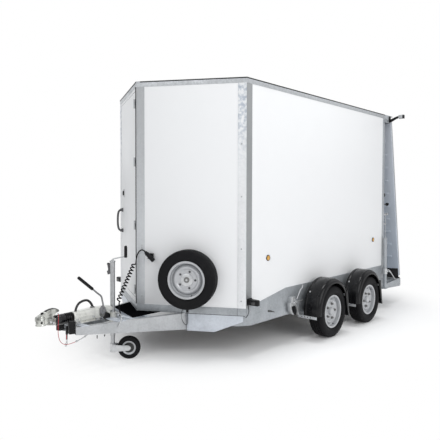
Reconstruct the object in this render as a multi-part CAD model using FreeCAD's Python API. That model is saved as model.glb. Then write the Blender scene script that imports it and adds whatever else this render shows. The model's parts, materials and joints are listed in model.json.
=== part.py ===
import FreeCAD
import Part
import math
import os

from FreeCAD import Vector

# An enclosed twin-axle cargo trailer with a pointed nose, a side door and a rear loading ramp.
# Millimetres. While it is modelled, x is 0 at the body's front corners and grows towards the
# towing vehicle, y grows to the left and z is 0 on the ground. The last lines shift x so that
# the origin lies on the ground under the middle of the whole trailer.

# Body shell
body_width = 1934.0
side_length = 3100.0
nose_depth = 552.0
rail_bottom_z = 419.0
nose_rail_top_z = 490.0
sole_top_z = 606.0
sole_knee_x = -668.0
roof_top_z = 2710.0
panel_thickness = 20.0
sheet = 3.0
post_flange = 85.0
post_core = 40.0
roof_rail_depth = 55.0
roof_rail_cover = 40.0
roof_thickness = 25.0
floor_thickness = 18.0

# Chassis
beam_depth = 106.0
beam_width = 50.0
beam_wall = 4.0
cross_member_depth = 80.0
beam_corner_x = -74.0
nose_run_s = 640.0
cross_member_width = 50.0
cross_member_behind_axle = 276.0
rear_arm_length = 615.0
rear_arm_end_z = (232.0, 346.0)
rear_arm_root = 340.0
rear_arm_step_z = 263.0
rear_bar_width = 60.0

# Drawbar, an A of two tapered channels
drawbar_front = (1337.0, 127.0)
drawbar_nose_point = (283.0, 442.0)
drawbar_depth_front = 68.0
drawbar_depth_nose = 166.0
drawbar_depth_rear = 100.0
drawbar_width = 50.0
end_block_length = 58.0
end_block_z = (365.0, 500.0)
outrigger_depth = 172.0
outrigger_outer_depth = 58.0
outrigger_knee_s = 800.0
outrigger_corner_gap = 30.0

# Road wheels
tyre_radius = 287.5
tyre_width = 175.0
rim_flange_radius = 183.5
rim_width = 140.0
rim_well_radius = 150.0
rim_seat_radius = 166.0
wheel_gap = 163.0
axle_x = (-1267.0, -2161.0)
hub_radius = 34.0
hub_flange_radius = 98.0
hub_cap_radius = 43.0
hub_cap_height = 27.0
disc_face_depth = 40.0
disc_thickness = 5.0
disc_crown_radius = 118.0
disc_crown_depth = 24.0
stud_circle = 82.5
stud_hole_radius = 8.5
stud_count = 5
stub_radius = 20.0
running_gap = 0.3
drum_radius = 115.0
drum_depth = 52.0
arm_length = 160.0
axle_tube_radius = 38.0
axle_tube_z = 272.0

# Mudguards
guard_radius = 335.0
guard_offset = (22.0, 40.0)
guard_reach_in = 92.0
guard_reach_out = 105.0
guard_sheet = 4.0
guard_shoulder = 45.0
guard_lip = 56.0
guard_flange = 22.0
guard_front_angle = -8.0
guard_rear_angle = 150.0
flap_bottom = (-321.0, 192.0)
flap_thickness = 6.0
stay_height = 30.0
stay_thickness = 4.0
rear_stay_z = 420.0

# Coupling and overrun device, all on the centre line
coupling_nose_x = 1645.0
coupling_axis_z = 472.0
ball_rise = 28.0
ball_radius = 25.5
cup_radius = 40.0
handle_width = 44.0
drawtube_radius = 25.0
gaiter_front_x = 1477.0
gaiter_radius = 47.0
gaiter_folds = 4
housing_front_x = 1297.0
housing_rear_x = 880.0
housing_top_z = 524.0
housing_width = 96.0
housing_collar_radius = 46.0
housing_boss_radius = 32.0
housing_boss_out = 8.0
lever_path = [(985.0, 500.0), (1013.0, 610.0), (1045.0, 660.0), (1105.0, 712.0), (1267.0, 846.0)]
lever_radius = 8.0
lever_grip_radius = 15.0
grab_path = [(1262.0, 2.5), (1250.0, 42.5), (1205.0, 82.5), (1130.0, 88.5), (1090.0, 56.5), (1076.0, 19.5)]
grab_radius = 11.0

# Jockey wheel
jockey_x = 840.0
jockey_y = -10.0
jockey_tube_radius = 24.0
jockey_tube_top_z = 943.0
jockey_tube_bottom_z = 225.0
jockey_inner_radius = 20.0
jockey_wheel_radius = 110.0
jockey_wheel_width = 60.0
jockey_pin_radius = 8.0
jockey_trail = (-110.0, 112.0)

# Prop stands at the rear corners
stand_from_rear = 30.0
stand_radius = 24.0
stand_bottom_z = 281.0
stand_top_z = 990.0
stand_out = 36.0
rear_clamp_z = (485.0, 560.0)
front_clamp_z = (328.0, 425.0)

# Front door, in the right-hand nose wall
door_near_s = 46.0
door_corner_margin = 128.5
door_sill_margin = 58.0
door_top_margin = 37.0
door_gap = 4.0
door_hinge_s = 26.0
door_hinge_out = 13.0
door_hinge_up = (86.0, 733.0, 1366.0)
door_hinge_down = 126.0
handle_from_edge = 80.0
handle_up = (617.0, 867.0)
latch_from_edge = 160.0
latch_size = 90.0
latch_up = (1008.0, 1102.0)

# Rear end
portal_depth = 60.0
portal_width = 60.0
portal_header = 122.0
shutter_pitch = 92.0
hood_length = 172.0
hood_depth = 106.0
hood_lip_length = 80.0
hood_lip_depth = 12.0
deck_length = 510.0
deck_thickness = 18.0
ramp_top_back = 249.0
ramp_top_drop = 38.0
ramp_bottom_back = 607.0
ramp_bottom_rise = 46.0
ramp_hinge_back = 597.0
ramp_hinge_rise = 18.0
ramp_thickness = 50.0
ramp_pin_radius = 8.0

# Spare wheel on the left-hand nose wall
spare_from_corner = 555.5
spare_z = 771.0
spare_back_gap = 6.0
carrier_boss_radius = 34.0
carrier_plate_radius = 60.0
carrier_cap_radius = 26.0

# Smaller fittings
step_bar_x = 640.0
step_side_x = 600.0
step_side_inset = 32.0
step_front_x = 770.0
step_front_inset = 91.0
step_left_s = 250.0
step_right_s = 440.0
outrigger_thickness = 8.0
jockey_sleeve_top_z = 150.0
jockey_inner_top_z = 700.0
jockey_bore_top_z = 820.0
crank_end = (756.0, 86.0)
crank_rise = 57.0
front_clamp_ahead = 477.0
ramp_side_gap = 7.0
ramp_rim = 60.0
ramp_tread_thickness = 15.0
ramp_rib = 30.0
ramp_bays = 5
batten_pitch = 190.0
ramp_hinge_inner_y = 250.0
ramp_hinge_outer_margin = 267.0
ramp_knuckle_radius = 14.0
batten_width = 24.0
batten_height = 10.0
batten_inset = 90.0
plug_s = 153.0
plug_z = 975.0
plug_out = 45.0
plug_radius = 22.0
plug_half = 42.0
tail_lamp_depth = 38.0
tail_lamp_width = 230.0
tail_lamp_margin = 37.0
tail_lamp_inset_z = (8.0, 16.0)
front_marker_z = 551.0
front_marker_reach = 120.0
rear_marker_back = 150.0
rear_marker_drop = 54.0
rear_marker_reach = 208.0
reflector_radius = 30.0
reflector_depth = 9.0
reflector_front = (-353.0, 950.0)
reflector_rear_margin = 341.0
reflector_rear_z = 981.0
cable_points = [
    (1452.0, 24.0, 552.0),
    (1458.0, 46.0, 545.0),
    (1468.0, 60.0, 500.0),
    (1472.0, 58.0, 430.0),
    (1462.0, 46.0, 350.0),
    (1430.0, 32.0, 285.0),
    (1372.0, 22.0, 254.0),
    (1310.0, 40.0, 262.0),
    (1258.0, 76.0, 290.0),
    (1222.0, 104.0, 318.0),
    (1210.0, 130.0, 338.05),
]

# Electric lead
coil_low = (798.0, 36.0, 562.0)
coil_high = (596.0, 34.0, 890.0)
coil_radius = 14.0
lead_radius = 4.5
cable_radius = 2.5

# Worked out
half_width = body_width / 2.0
nose_length = math.hypot(nose_depth, half_width)
nose_along = (-nose_depth / nose_length, half_width / nose_length)
nose_out = (half_width / nose_length, nose_depth / nose_length)
wall_inner = sheet + panel_thickness
floor_bottom_z = rail_bottom_z + sheet
floor_top_z = floor_bottom_z + floor_thickness
roof_bottom_z = roof_top_z - sheet - roof_thickness
beam_top_z = rail_bottom_z
beam_bottom_z = beam_top_z - beam_depth
beam_outer_y = half_width - sheet
beam_inner_y = beam_outer_y - beam_width
rear_arm_end_x = -side_length - rear_arm_length
rear_arm_root_x = -side_length + rear_arm_root
drawbar_rear_y = beam_inner_y - 1.0
plate_top_z = beam_top_z + 6.0
tube_rear_x = housing_rear_x + 160.0
gaiter_rear_x = housing_front_x
ball_z = coupling_axis_z + ball_rise
middle_x = (coupling_nose_x + rear_arm_end_x - tail_lamp_depth) / 2.0
wheel_track_y = half_width + wheel_gap
disc_y = rim_width / 2.0 - disc_face_depth
drum_back_y = disc_y - drum_depth
guard_inner_y = wheel_track_y - guard_reach_in
guard_outer_y = wheel_track_y + guard_reach_out
guard_centre_z = tyre_radius + guard_offset[1]
cross_member_x = (axle_x[0] - cross_member_behind_axle, axle_x[1] - cross_member_behind_axle, -side_length)
door_far_s = nose_length - door_corner_margin
door_bottom_z = nose_rail_top_z + door_sill_margin
door_top_z = roof_top_z - roof_rail_depth - door_top_margin
door_hinge_z = [door_bottom_z + up for up in door_hinge_up] + [door_top_z - door_hinge_down]
spare_s = nose_length - spare_from_corner
stand_x = -side_length + stand_from_rear
stand_y = half_width + stand_out
front_clamp_x = axle_x[0] + front_clamp_ahead
hood_rear_x = -side_length - hood_length
hood_bottom_z = roof_top_z - hood_depth
deck_top_z = rear_arm_end_z[1]
deck_rear_x = -side_length - deck_length
ramp_top = (-side_length - ramp_top_back, roof_top_z - ramp_top_drop)
ramp_bottom = (-side_length - ramp_bottom_back, rear_arm_end_z[1] + ramp_bottom_rise)
ramp_hinge = (-side_length - ramp_hinge_back, rear_arm_end_z[1] + ramp_hinge_rise)
ramp_half_width = half_width - ramp_side_gap
hinge_outer_y = half_width - ramp_hinge_outer_margin
ramp_hinge_y = (-hinge_outer_y, -ramp_hinge_inner_y, ramp_hinge_inner_y, hinge_outer_y)
lead_start = (798.0, 52.0, beam_top_z)


# Helpers for plan outlines, sections and common solids
def box(x0, x1, y0, y1, z0, z1):
    size = (abs(x1 - x0), abs(y1 - y0), abs(z1 - z0))
    corner = Vector(min(x0, x1), min(y0, y1), min(z0, z1))
    return Part.makeBox(size[0], size[1], size[2], corner)


def cylinder(radius, length, base, direction):
    return Part.makeCylinder(radius, length, Vector(*base), Vector(*direction))


def plate_xy(points, z0, z1):
    wire = Part.makePolygon([Vector(x, y, z0) for x, y in points + points[:1]])
    return Part.Face(wire).extrude(Vector(0, 0, z1 - z0))


def plate_xz(points, y0, y1):
    wire = Part.makePolygon([Vector(x, y0, z) for x, z in points + points[:1]])
    return Part.Face(wire).extrude(Vector(0, y1 - y0, 0))


def plate_yz(points, x0, x1):
    wire = Part.makePolygon([Vector(x0, y, z) for y, z in points + points[:1]])
    return Part.Face(wire).extrude(Vector(x1 - x0, 0, 0))


def fuse(shapes):
    return shapes[0].multiFuse(shapes[1:]).removeSplitter()


def group(shapes):
    return Part.makeCompound(shapes)


def mirrored(shape):
    return shape.mirror(Vector(0, 0, 0), Vector(0, 1, 0))


def both_sides(shape):
    return group([shape, mirrored(shape)])


def on_nose(s, depth, side):
    """Plan point on a nose wall: s from the nose tip, depth inwards, side 1 left or -1 right."""
    x = nose_depth + nose_along[0] * s - nose_out[0] * depth
    y = nose_along[1] * s - nose_out[1] * depth
    return (x, side * y)


def nose_mitre(depth):
    """Where the two nose walls meet at this depth: on the centre line."""
    return (nose_depth - depth / nose_out[0], 0.0)


def corner_mitre(depth, side):
    """Where a side wall meets its nose wall at this depth."""
    y = half_width - depth
    s = (y + nose_out[1] * depth) / nose_along[1]
    x = nose_depth + nose_along[0] * s - nose_out[0] * depth
    return (x, side * y)


def body_outline(depth, rear_x):
    return [
        (rear_x, half_width - depth),
        corner_mitre(depth, 1),
        nose_mitre(depth),
        corner_mitre(depth, -1),
        (rear_x, -(half_width - depth)),
    ]


def on_nose_wall(shape, s, z, out, side):
    """Place a shape drawn with +x outwards, +y along the wall and its origin on the wall face."""
    turn = math.degrees(math.atan2(side * nose_out[1], nose_out[0]))
    x, y = on_nose(s, -out, side)
    moved = shape.copy()
    moved.rotate(Vector(0, 0, 0), Vector(0, 0, 1), turn)
    moved.translate(Vector(x, y, z))
    return moved


def revolve_y(profile, centre, angle=360.0):
    """Turn a closed (y, radius) outline round the Y line through centre."""
    cx, cy, cz = centre
    points = [Vector(cx, cy + y, cz + r) for y, r in profile + profile[:1]]
    face = Part.Face(Part.makePolygon(points))
    return face.revolve(Vector(cx, cy, cz), Vector(0, 1, 0), angle)


def tube_path(points, radius):
    """A round tube along straight runs joined by tangent arcs."""
    path_edges = rounded_path(points)
    wire = Part.Wire(path_edges)
    start = Vector(*points[0])
    direction = (Vector(*points[1]) - start).normalize()
    circle = Part.Wire(Part.Edge(Part.Circle(start, direction, radius)))
    return wire.makePipeShell([circle], True, False)


def rounded_path(points):
    spots = [Vector(*p) for p in points]
    edges = []
    last = spots[0]
    for before, here, after in zip(spots, spots[1:], spots[2:]):
        arm_in = here - before
        arm_out = after - here
        turn = arm_in.getAngle(arm_out)
        shorter = min(arm_in.Length, arm_out.Length)
        reach = 0.45 * shorter
        start = here - Vector(arm_in).normalize() * reach
        end = here + Vector(arm_out).normalize() * reach
        bend_radius = reach / math.tan(turn / 2.0)
        inward = (Vector(arm_out).normalize() - Vector(arm_in).normalize()).normalize()
        to_centre = bend_radius / math.cos(turn / 2.0)
        middle = here + inward * (to_centre - bend_radius)
        edges.append(Part.LineSegment(last, start).toShape())
        edges.append(Part.Arc(start, middle, end).toShape())
        last = end
    edges.append(Part.LineSegment(last, spots[-1]).toShape())
    return edges


# Floor, walls and roof
def sole_plate():
    front_x = corner_mitre(sheet, 1)[0] - running_gap
    outline = [
        (front_x, rail_bottom_z),
        (front_x, nose_rail_top_z),
        (sole_knee_x, sole_top_z),
        (-side_length, sole_top_z),
        (-side_length, rail_bottom_z),
    ]
    face = plate_xz(outline, half_width - sheet, half_width)
    shelf_front = corner_mitre(sheet + beam_width, 1)[0] - running_gap
    shelf = box(-side_length, shelf_front, beam_inner_y, half_width - sheet, rail_bottom_z, floor_bottom_z)
    return fuse([face, shelf])


def nose_rail(side):
    """Rail under one nose wall; a hair short of its neighbours at both ends."""
    s0, s1 = running_gap, nose_length - running_gap
    tip = nose_mitre(sheet + beam_width)
    mitre = 2.0
    face = [
        on_nose(s0, 0, side),
        on_nose(s1, 0, side),
        on_nose(s1 - mitre, sheet, side),
        on_nose(s0 + mitre, sheet, side),
    ]
    shelf = [
        on_nose(s0, 0, side),
        on_nose(s1, 0, side),
        on_nose(s1 - 30.0, sheet + beam_width, side),
        (tip[0], side * running_gap),
    ]
    face_solid = plate_xy(face, rail_bottom_z, nose_rail_top_z)
    shelf_solid = plate_xy(shelf, rail_bottom_z, floor_bottom_z)
    return fuse([face_solid, shelf_solid])


def side_panel():
    points = [
        (-side_length + portal_depth, half_width - sheet),
        (-post_core, half_width - sheet),
        (-post_core, half_width - wall_inner),
        (-side_length + portal_depth, half_width - wall_inner),
    ]
    return plate_xy(points, floor_bottom_z, roof_bottom_z)


def nose_panel(s0, s1, side, z0, z1):
    points = [
        on_nose(s0, sheet, side),
        on_nose(s1, sheet, side),
        on_nose(s1, wall_inner, side),
        on_nose(s0, wall_inner, side),
    ]
    return plate_xy(points, z0, z1)


def door_surround():
    """The right-hand nose wall with the doorway cut through it."""
    wall = nose_panel(post_core, nose_length - post_core, -1, floor_bottom_z, roof_bottom_z)
    s0, s1 = post_core - 1, door_far_s + door_gap
    hole = [
        on_nose(s0, -1, -1),
        on_nose(s1, -1, -1),
        on_nose(s1, wall_inner + 1, -1),
        on_nose(s0, wall_inner + 1, -1),
    ]
    return wall.cut(plate_xy(hole, door_bottom_z - door_gap, door_top_z + door_gap))


def nose_post():
    core = [
        on_nose(post_core, sheet, 1),
        nose_mitre(sheet),
        on_nose(post_core, sheet, -1),
        on_nose(post_core, wall_inner, -1),
        nose_mitre(wall_inner),
        on_nose(post_core, wall_inner, 1),
    ]
    flange = [
        on_nose(post_flange, 0, 1),
        nose_mitre(0),
        on_nose(post_core, 0, -1),
        on_nose(post_core, sheet, -1),
        nose_mitre(sheet),
        on_nose(post_flange, sheet, 1),
    ]
    core_solid = plate_xy(core, floor_bottom_z, roof_bottom_z)
    flange_solid = plate_xy(flange, nose_rail_top_z, roof_top_z - roof_rail_depth)
    return fuse([core_solid, flange_solid])


def corner_post(side):
    near = nose_length - post_core
    far = nose_length - post_flange
    depth_y = half_width - wall_inner
    core = [
        (-post_core, side * (half_width - sheet)),
        corner_mitre(sheet, side),
        on_nose(near, sheet, side),
        on_nose(near, wall_inner, side),
        corner_mitre(wall_inner, side),
        (-post_core, side * depth_y),
    ]
    flange = [
        (-post_flange, side * half_width),
        (0.0, side * half_width),
        on_nose(far, 0, side),
        on_nose(far, sheet, side),
        corner_mitre(sheet, side),
        (-post_flange, side * (half_width - sheet)),
    ]
    core_solid = plate_xy(core, floor_bottom_z, roof_bottom_z)
    flange_solid = plate_xy(flange, nose_rail_top_z, roof_top_z - roof_rail_depth)
    sole = sole_plate() if side > 0 else mirrored(sole_plate())
    return fuse([core_solid, flange_solid.cut(sole)])


def roof_rails():
    outer = body_outline(0, -side_length)
    inner = body_outline(sheet, -side_length - 1.0)
    open_part = body_outline(roof_rail_cover, -side_length - 1.0)
    low = roof_top_z - roof_rail_depth
    ring = plate_xy(outer, low, roof_top_z)
    ring = ring.cut(plate_xy(inner, low - 1.0, roof_top_z - sheet))
    return ring.cut(plate_xy(open_part, low - 1.0, roof_top_z + 1.0))


def rear_frame():
    x0 = -side_length
    x1 = x0 + portal_depth
    y1 = half_width - sheet
    inner_y = half_width - sheet - portal_width
    top = roof_bottom_z
    frame = box(x0, x1, -y1, y1, floor_bottom_z, top)
    opening = box(x0 - 1, x1 + 1, -inner_y, inner_y, floor_top_z, top - portal_header)
    groove_x = x0 + portal_depth / 2.0
    groove = box(groove_x - 7, groove_x + 7, -inner_y - 12, inner_y + 12, floor_top_z, top - 60)
    flange = box(x0, x0 + portal_width, y1, half_width, sole_top_z, roof_top_z - roof_rail_depth)
    portal = frame.cut(opening).cut(groove)
    return fuse([portal, flange, mirrored(flange)])


def rear_shutter():
    inner_y = half_width - sheet - portal_width
    x = -side_length + portal_depth / 2.0
    bottom = floor_top_z
    top = roof_bottom_z - 62.0
    count = int((top - bottom) // shutter_pitch)
    slats = []
    for k in range(count):
        z = bottom + k * shutter_pitch
        for dz, dx in ((2.0, 0.0), (8.0, 4.5), (shutter_pitch - 8.0, 4.5), (shutter_pitch - 2.0, 0.0)):
            slats.append((x - 1.8 - dx, z + dz))
    slats[0] = (slats[0][0], bottom)
    outline = slats + [(x + 6.5, slats[-1][1]), (x + 6.5, bottom)]
    return plate_xz(outline, -inner_y - 11.0, inner_y + 11.0)


def rear_hood():
    y1 = half_width
    low = hood_bottom_z
    top = roof_top_z
    front = -side_length
    shell = box(hood_rear_x, front, -y1, y1, low, top)
    hollow = box(hood_rear_x + sheet, front - sheet, -y1 + sheet, y1 - sheet, low - 1, top - sheet)
    lip = box(hood_rear_x - hood_lip_length, hood_rear_x, -y1, y1, top - hood_lip_depth, top)
    return fuse([shell.cut(hollow), lip])


def rear_deck():
    """Low step board between the rear arms, level with their tops."""
    y1 = beam_inner_y
    return box(deck_rear_x, -side_length, -y1, y1, deck_top_z - deck_thickness, deck_top_z)


# Chassis
def side_beam():
    """Long channel, its front run along the nose wall and the rear arm that carries deck and ramp."""
    y0 = beam_inner_y
    y1 = beam_outer_y
    front = beam_corner_x
    full = box(-side_length, front, y0, y1, beam_bottom_z, beam_top_z)
    inside = box(-side_length - 1, front + 1, y0 - 1, y1 - beam_wall, beam_bottom_z + beam_wall,
                 beam_top_z - beam_wall)
    return fuse([full.cut(inside), nose_run(), rear_arm()])


def nose_run():
    """Channel behind the outrigger, from the front of the side beam to the drawbar beam."""
    depth = outrigger_thickness
    far_s = nose_length - 1.6 * beam_width
    outer = [(beam_corner_x, beam_outer_y), on_nose(far_s, depth, 1), on_nose(nose_run_s, depth, 1)]
    wall = [(beam_corner_x, beam_outer_y - beam_wall), on_nose(far_s, depth + beam_wall, 1),
            on_nose(nose_run_s, depth + beam_wall, 1)]
    inner = [(beam_corner_x, beam_inner_y), on_nose(far_s, depth + beam_width, 1),
             on_nose(nose_run_s, depth + beam_width, 1)]
    web = plate_xy(outer + wall[::-1], beam_bottom_z, beam_top_z)
    low = plate_xy(outer + inner[::-1], beam_bottom_z, beam_bottom_z + beam_wall)
    high = plate_xy(outer + inner[::-1], beam_top_z - beam_wall, beam_top_z)
    return fuse([web, low, high]).cut(drawbar_space())


def drawbar_space():
    """What the left drawbar beam takes up on its way under the body."""
    total = drawbar_line()[2]
    return on_drawbar(box(0.0, total, -drawbar_width - running_gap, running_gap, 0.0, beam_top_z + 1.0))


def cross_member(x, y1):
    z1 = floor_bottom_z
    z0 = z1 - cross_member_depth
    full = box(x, x + cross_member_width, -y1, y1, z0, z1)
    inside = box(x + beam_wall, x + cross_member_width + 1, -y1 - 1, y1 + 1, z0 + beam_wall, z1 - beam_wall)
    return full.cut(inside)


def rear_arm():
    bar_front = rear_arm_end_x + rear_bar_width
    outline = [
        (rear_arm_root_x, beam_bottom_z),
        (-side_length, beam_bottom_z),
        (deck_rear_x, rear_arm_end_z[1]),
        (rear_arm_end_x, rear_arm_end_z[1]),
        (rear_arm_end_x, rear_arm_end_z[0]),
        (bar_front, rear_arm_end_z[0]),
        (-side_length, rear_arm_step_z),
        (rear_arm_root_x, beam_bottom_z - 16.0),
    ]
    return plate_xz(outline, beam_inner_y, beam_outer_y)


def rear_bar():
    x0 = rear_arm_end_x
    return box(x0, x0 + rear_bar_width, -beam_inner_y, beam_inner_y, *rear_arm_end_z)


def drawbar_line():
    """Unit vector back along the left beam, and its lengths to the nose wall and to its rear end."""
    dx = drawbar_nose_point[0] - drawbar_front[0]
    dy = drawbar_nose_point[1] - drawbar_front[1]
    run = math.hypot(dx, dy)
    along = (dx / run, dy / run)
    total = (drawbar_rear_y - drawbar_front[1]) / along[1]
    return along, run, total


def on_drawbar(shape):
    """Place a shape drawn with +x back along the left beam and -y from its outer face inwards."""
    along = drawbar_line()[0]
    placed = shape.copy()
    placed.rotate(Vector(0, 0, 0), Vector(0, 0, 1), math.degrees(math.atan2(along[1], along[0])))
    placed = placed.mirror(Vector(0, 0, 0), Vector(-along[1], along[0], 0))
    placed.translate(Vector(drawbar_front[0], drawbar_front[1], 0))
    return placed


def drawbar_beam():
    run, total = drawbar_line()[1:]
    top = beam_top_z
    web = [
        (0.0, top),
        (total, top),
        (total, top - drawbar_depth_rear),
        (run, top - drawbar_depth_nose),
        (0.0, top - drawbar_depth_front),
    ]
    wall = beam_wall
    hollow = [
        (-1.0, top - wall),
        (total + 1.0, top - wall),
        (total + 1.0, top - drawbar_depth_rear + wall),
        (run, top - drawbar_depth_nose + wall),
        (-1.0, top - drawbar_depth_front + wall),
    ]
    full = plate_xz(web, -drawbar_width, 0.0)
    inside = plate_xz(hollow, -drawbar_width - 1.0, -wall)
    beam = full.cut(inside)
    return on_drawbar(beam)


# Wheels
def tyre(centre):
    half = tyre_width / 2.0
    bead = rim_width / 2.0 - 12.0
    seat = rim_seat_radius + running_gap
    shoulder = tyre_radius - 22.0
    crown = tyre_radius - 2.0
    outline = [
        (-bead, seat),
        (-bead - 4.0, rim_flange_radius + 3.0),
        (-half, (rim_flange_radius + tyre_radius) / 2.0),
        (-half + 8.0, shoulder),
        (-half + 26.0, crown),
        (0.0, tyre_radius),
        (half - 26.0, crown),
        (half - 8.0, shoulder),
        (half, (rim_flange_radius + tyre_radius) / 2.0),
        (bead + 4.0, rim_flange_radius + 3.0),
        (bead, seat),
        (bead - 14.0, seat + 4.0),
        (half - 16.0, (rim_flange_radius + tyre_radius) / 2.0),
        (half - 30.0, crown - 12.0),
        (-half + 30.0, crown - 12.0),
        (-half + 16.0, (rim_flange_radius + tyre_radius) / 2.0),
        (-bead + 14.0, seat + 4.0),
    ]
    return revolve_y(outline, centre)


def rim(centre, side):
    """Steel rim and dished disc; side 1 has its open face to +y."""
    w = rim_width / 2.0
    wall = 5.0
    well = rim_well_radius
    seat = rim_seat_radius
    barrel = [
        (-w, rim_flange_radius),
        (-w + wall, rim_flange_radius),
        (-w + wall, seat),
        (-w + 38.0, seat),
        (-w + 46.0, well),
        (w - 60.0, well),
        (w - 50.0, seat),
        (w - wall, seat),
        (w - wall, rim_flange_radius),
        (w, rim_flange_radius),
        (w, seat - wall),
        (w - 46.0, seat - wall),
        (w - 56.0, well - wall),
        (-w + 42.0, well - wall),
        (-w + 34.0, seat - wall),
        (-w, seat - wall),
    ]
    crown = w - disc_crown_depth
    face = disc_y + disc_thickness
    disc = [
        (w - 60.0, well - wall),
        (w - 60.0 - disc_thickness, well - wall),
        (crown - disc_thickness, disc_crown_radius + 6.0),
        (crown - disc_thickness, disc_crown_radius - 4.0),
        (disc_y, hub_flange_radius - 2.0),
        (disc_y, stub_radius + running_gap),
        (face, stub_radius + running_gap),
        (face, hub_flange_radius),
        (crown, disc_crown_radius - 6.0),
        (crown, disc_crown_radius + 8.0),
    ]
    barrel_solid = revolve_y([(side * y, r) for y, r in barrel], centre)
    disc_solid = revolve_y([(side * y, r) for y, r in disc], centre)
    return fuse([barrel_solid, disc_solid.cut(group(stud_holes(centre, side)))])


def stud_holes(centre, side):
    holes = []
    for k in range(stud_count):
        angle = math.radians(90.0 + 360.0 * k / stud_count)
        x = centre[0] + stud_circle * math.cos(angle)
        z = centre[2] + stud_circle * math.sin(angle)
        y = centre[1] + side * (disc_y - 1.0)
        holes.append(cylinder(stud_hole_radius, disc_thickness + 2.0, (x, y, z), (0, side, 0)))
    return holes


def wheel_hub(centre, side):
    face = disc_y
    back = drum_back_y
    outline = [
        (face, stub_radius + running_gap),
        (face, hub_flange_radius),
        (face - 10.0, hub_flange_radius),
        (face - 10.0, drum_radius),
        (back, drum_radius),
        (back, drum_radius - 8.0),
        (face - 18.0, drum_radius - 8.0),
        (face - 18.0, hub_radius),
        (back - 2.0, hub_radius),
        (back - 2.0, stub_radius + running_gap),
    ]
    foot = disc_y + disc_thickness
    crest = foot + hub_cap_height
    cap = [
        (foot, hub_cap_radius),
        (crest - 5.0, hub_cap_radius - 2.0),
        (crest, hub_cap_radius - 9.0),
        (crest, 0.0),
        (crest - 4.0, 0.0),
        (crest - 4.0, hub_cap_radius - 10.0),
        (crest - 8.0, hub_cap_radius - 6.0),
        (foot, hub_cap_radius - 5.0),
    ]
    hub = revolve_y([(side * y, r) for y, r in outline], centre)
    cap_solid = revolve_y([(side * y, r) for y, r in cap], centre)
    return hub, cap_solid


def road_wheel(x, side):
    centre = (x, side * wheel_track_y, tyre_radius)
    hub, cap = wheel_hub(centre, side)
    wheel = fuse([rim(centre, side), hub, cap])
    return tyre(centre), wheel


def axle(x):
    """One rubber-sprung axle: cross tube, trailing arms, stub axles and backing plates."""
    tube_x = x + arm_length
    tube_half = beam_outer_y + 4.0
    pieces = [cylinder(axle_tube_radius, 2 * tube_half, (tube_x, -tube_half, axle_tube_z), (0, 1, 0))]
    arm_y = (beam_outer_y + 1.0, beam_outer_y + 29.0)
    outline = [
        (tube_x + 34.0, axle_tube_z + 34.0),
        (tube_x + 34.0, axle_tube_z - 34.0),
        (x - 26.0, tyre_radius - 26.0),
        (x - 26.0, tyre_radius + 26.0),
    ]
    arm = plate_xz(outline, arm_y[0], arm_y[1])
    plate_y = wheel_track_y + drum_back_y - 8.0
    stub_end = wheel_track_y + disc_y + 10.0
    stub = cylinder(stub_radius, stub_end - arm_y[0], (x, arm_y[0], tyre_radius), (0, 1, 0))
    backing = cylinder(drum_radius, 4.0, (x, plate_y, tyre_radius), (0, 1, 0))
    boss = cylinder(hub_radius, plate_y - arm_y[1], (x, arm_y[1], tyre_radius), (0, 1, 0))
    bracket = box(tube_x - 60.0, tube_x + 60.0, beam_inner_y, beam_outer_y - 40.0, axle_tube_z, beam_bottom_z)
    for piece in (arm, stub, backing, boss, bracket):
        pieces.append(piece)
        pieces.append(mirrored(piece))
    return fuse(pieces)


def mudguard(x):
    """A rolled guard with a round shoulder, a side lip and a leaning rear flap, on the left side."""
    cx = x + guard_offset[0]
    start = math.radians(guard_front_angle)
    end = math.radians(guard_rear_angle)
    inner_r = guard_radius - guard_sheet

    def on_start(y, r):
        return Vector(cx + r * math.cos(start), y, guard_centre_z + r * math.sin(start))

    def at_end(r):
        return (cx + r * math.cos(end), guard_centre_z + r * math.sin(end))

    def shoulder(y, r, radius):
        slant = radius * (1.0 - math.sqrt(0.5))
        middle = on_start(y - slant, r - slant)
        return Part.Arc(on_start(y - radius, r), middle, on_start(y, r - radius)).toShape()

    outer = shoulder(guard_outer_y, guard_radius, guard_shoulder)
    inner = shoulder(guard_outer_y - guard_sheet, inner_r, guard_shoulder - guard_sheet)
    lip_r = guard_radius - guard_lip
    lip = [
        on_start(guard_outer_y, guard_radius - guard_shoulder),
        on_start(guard_outer_y, lip_r),
        on_start(guard_outer_y - guard_sheet, lip_r),
        on_start(guard_outer_y - guard_sheet, guard_radius - guard_shoulder),
    ]
    crown = [
        on_start(guard_outer_y - guard_shoulder, inner_r),
        on_start(guard_inner_y + guard_sheet, inner_r),
        on_start(guard_inner_y + guard_sheet, guard_radius - guard_flange),
        on_start(guard_inner_y, guard_radius - guard_flange),
        on_start(guard_inner_y, guard_radius),
        on_start(guard_outer_y - guard_shoulder, guard_radius),
    ]
    straight = [Part.LineSegment(a, b).toShape() for run in (lip, crown) for a, b in zip(run, run[1:])]
    section = Part.Face(Part.Wire(Part.__sortEdges__(straight + [outer, inner])))
    sweep = guard_rear_angle - guard_front_angle
    hoop = section.revolve(Vector(cx, 0, guard_centre_z), Vector(0, -1, 0), sweep)

    foot = (x + flap_bottom[0], flap_bottom[1])
    toe = (foot[0] + flap_thickness, foot[1])
    flap = plate_xz([at_end(guard_radius), foot, toe, at_end(inner_r)], guard_inner_y, guard_outer_y)
    gusset = plate_xz([at_end(guard_radius), foot, (foot[0] + 28.0, foot[1]), at_end(lip_r)],
                      guard_outer_y - guard_sheet, guard_outer_y)
    return fuse([hoop, flap, gusset])


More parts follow.
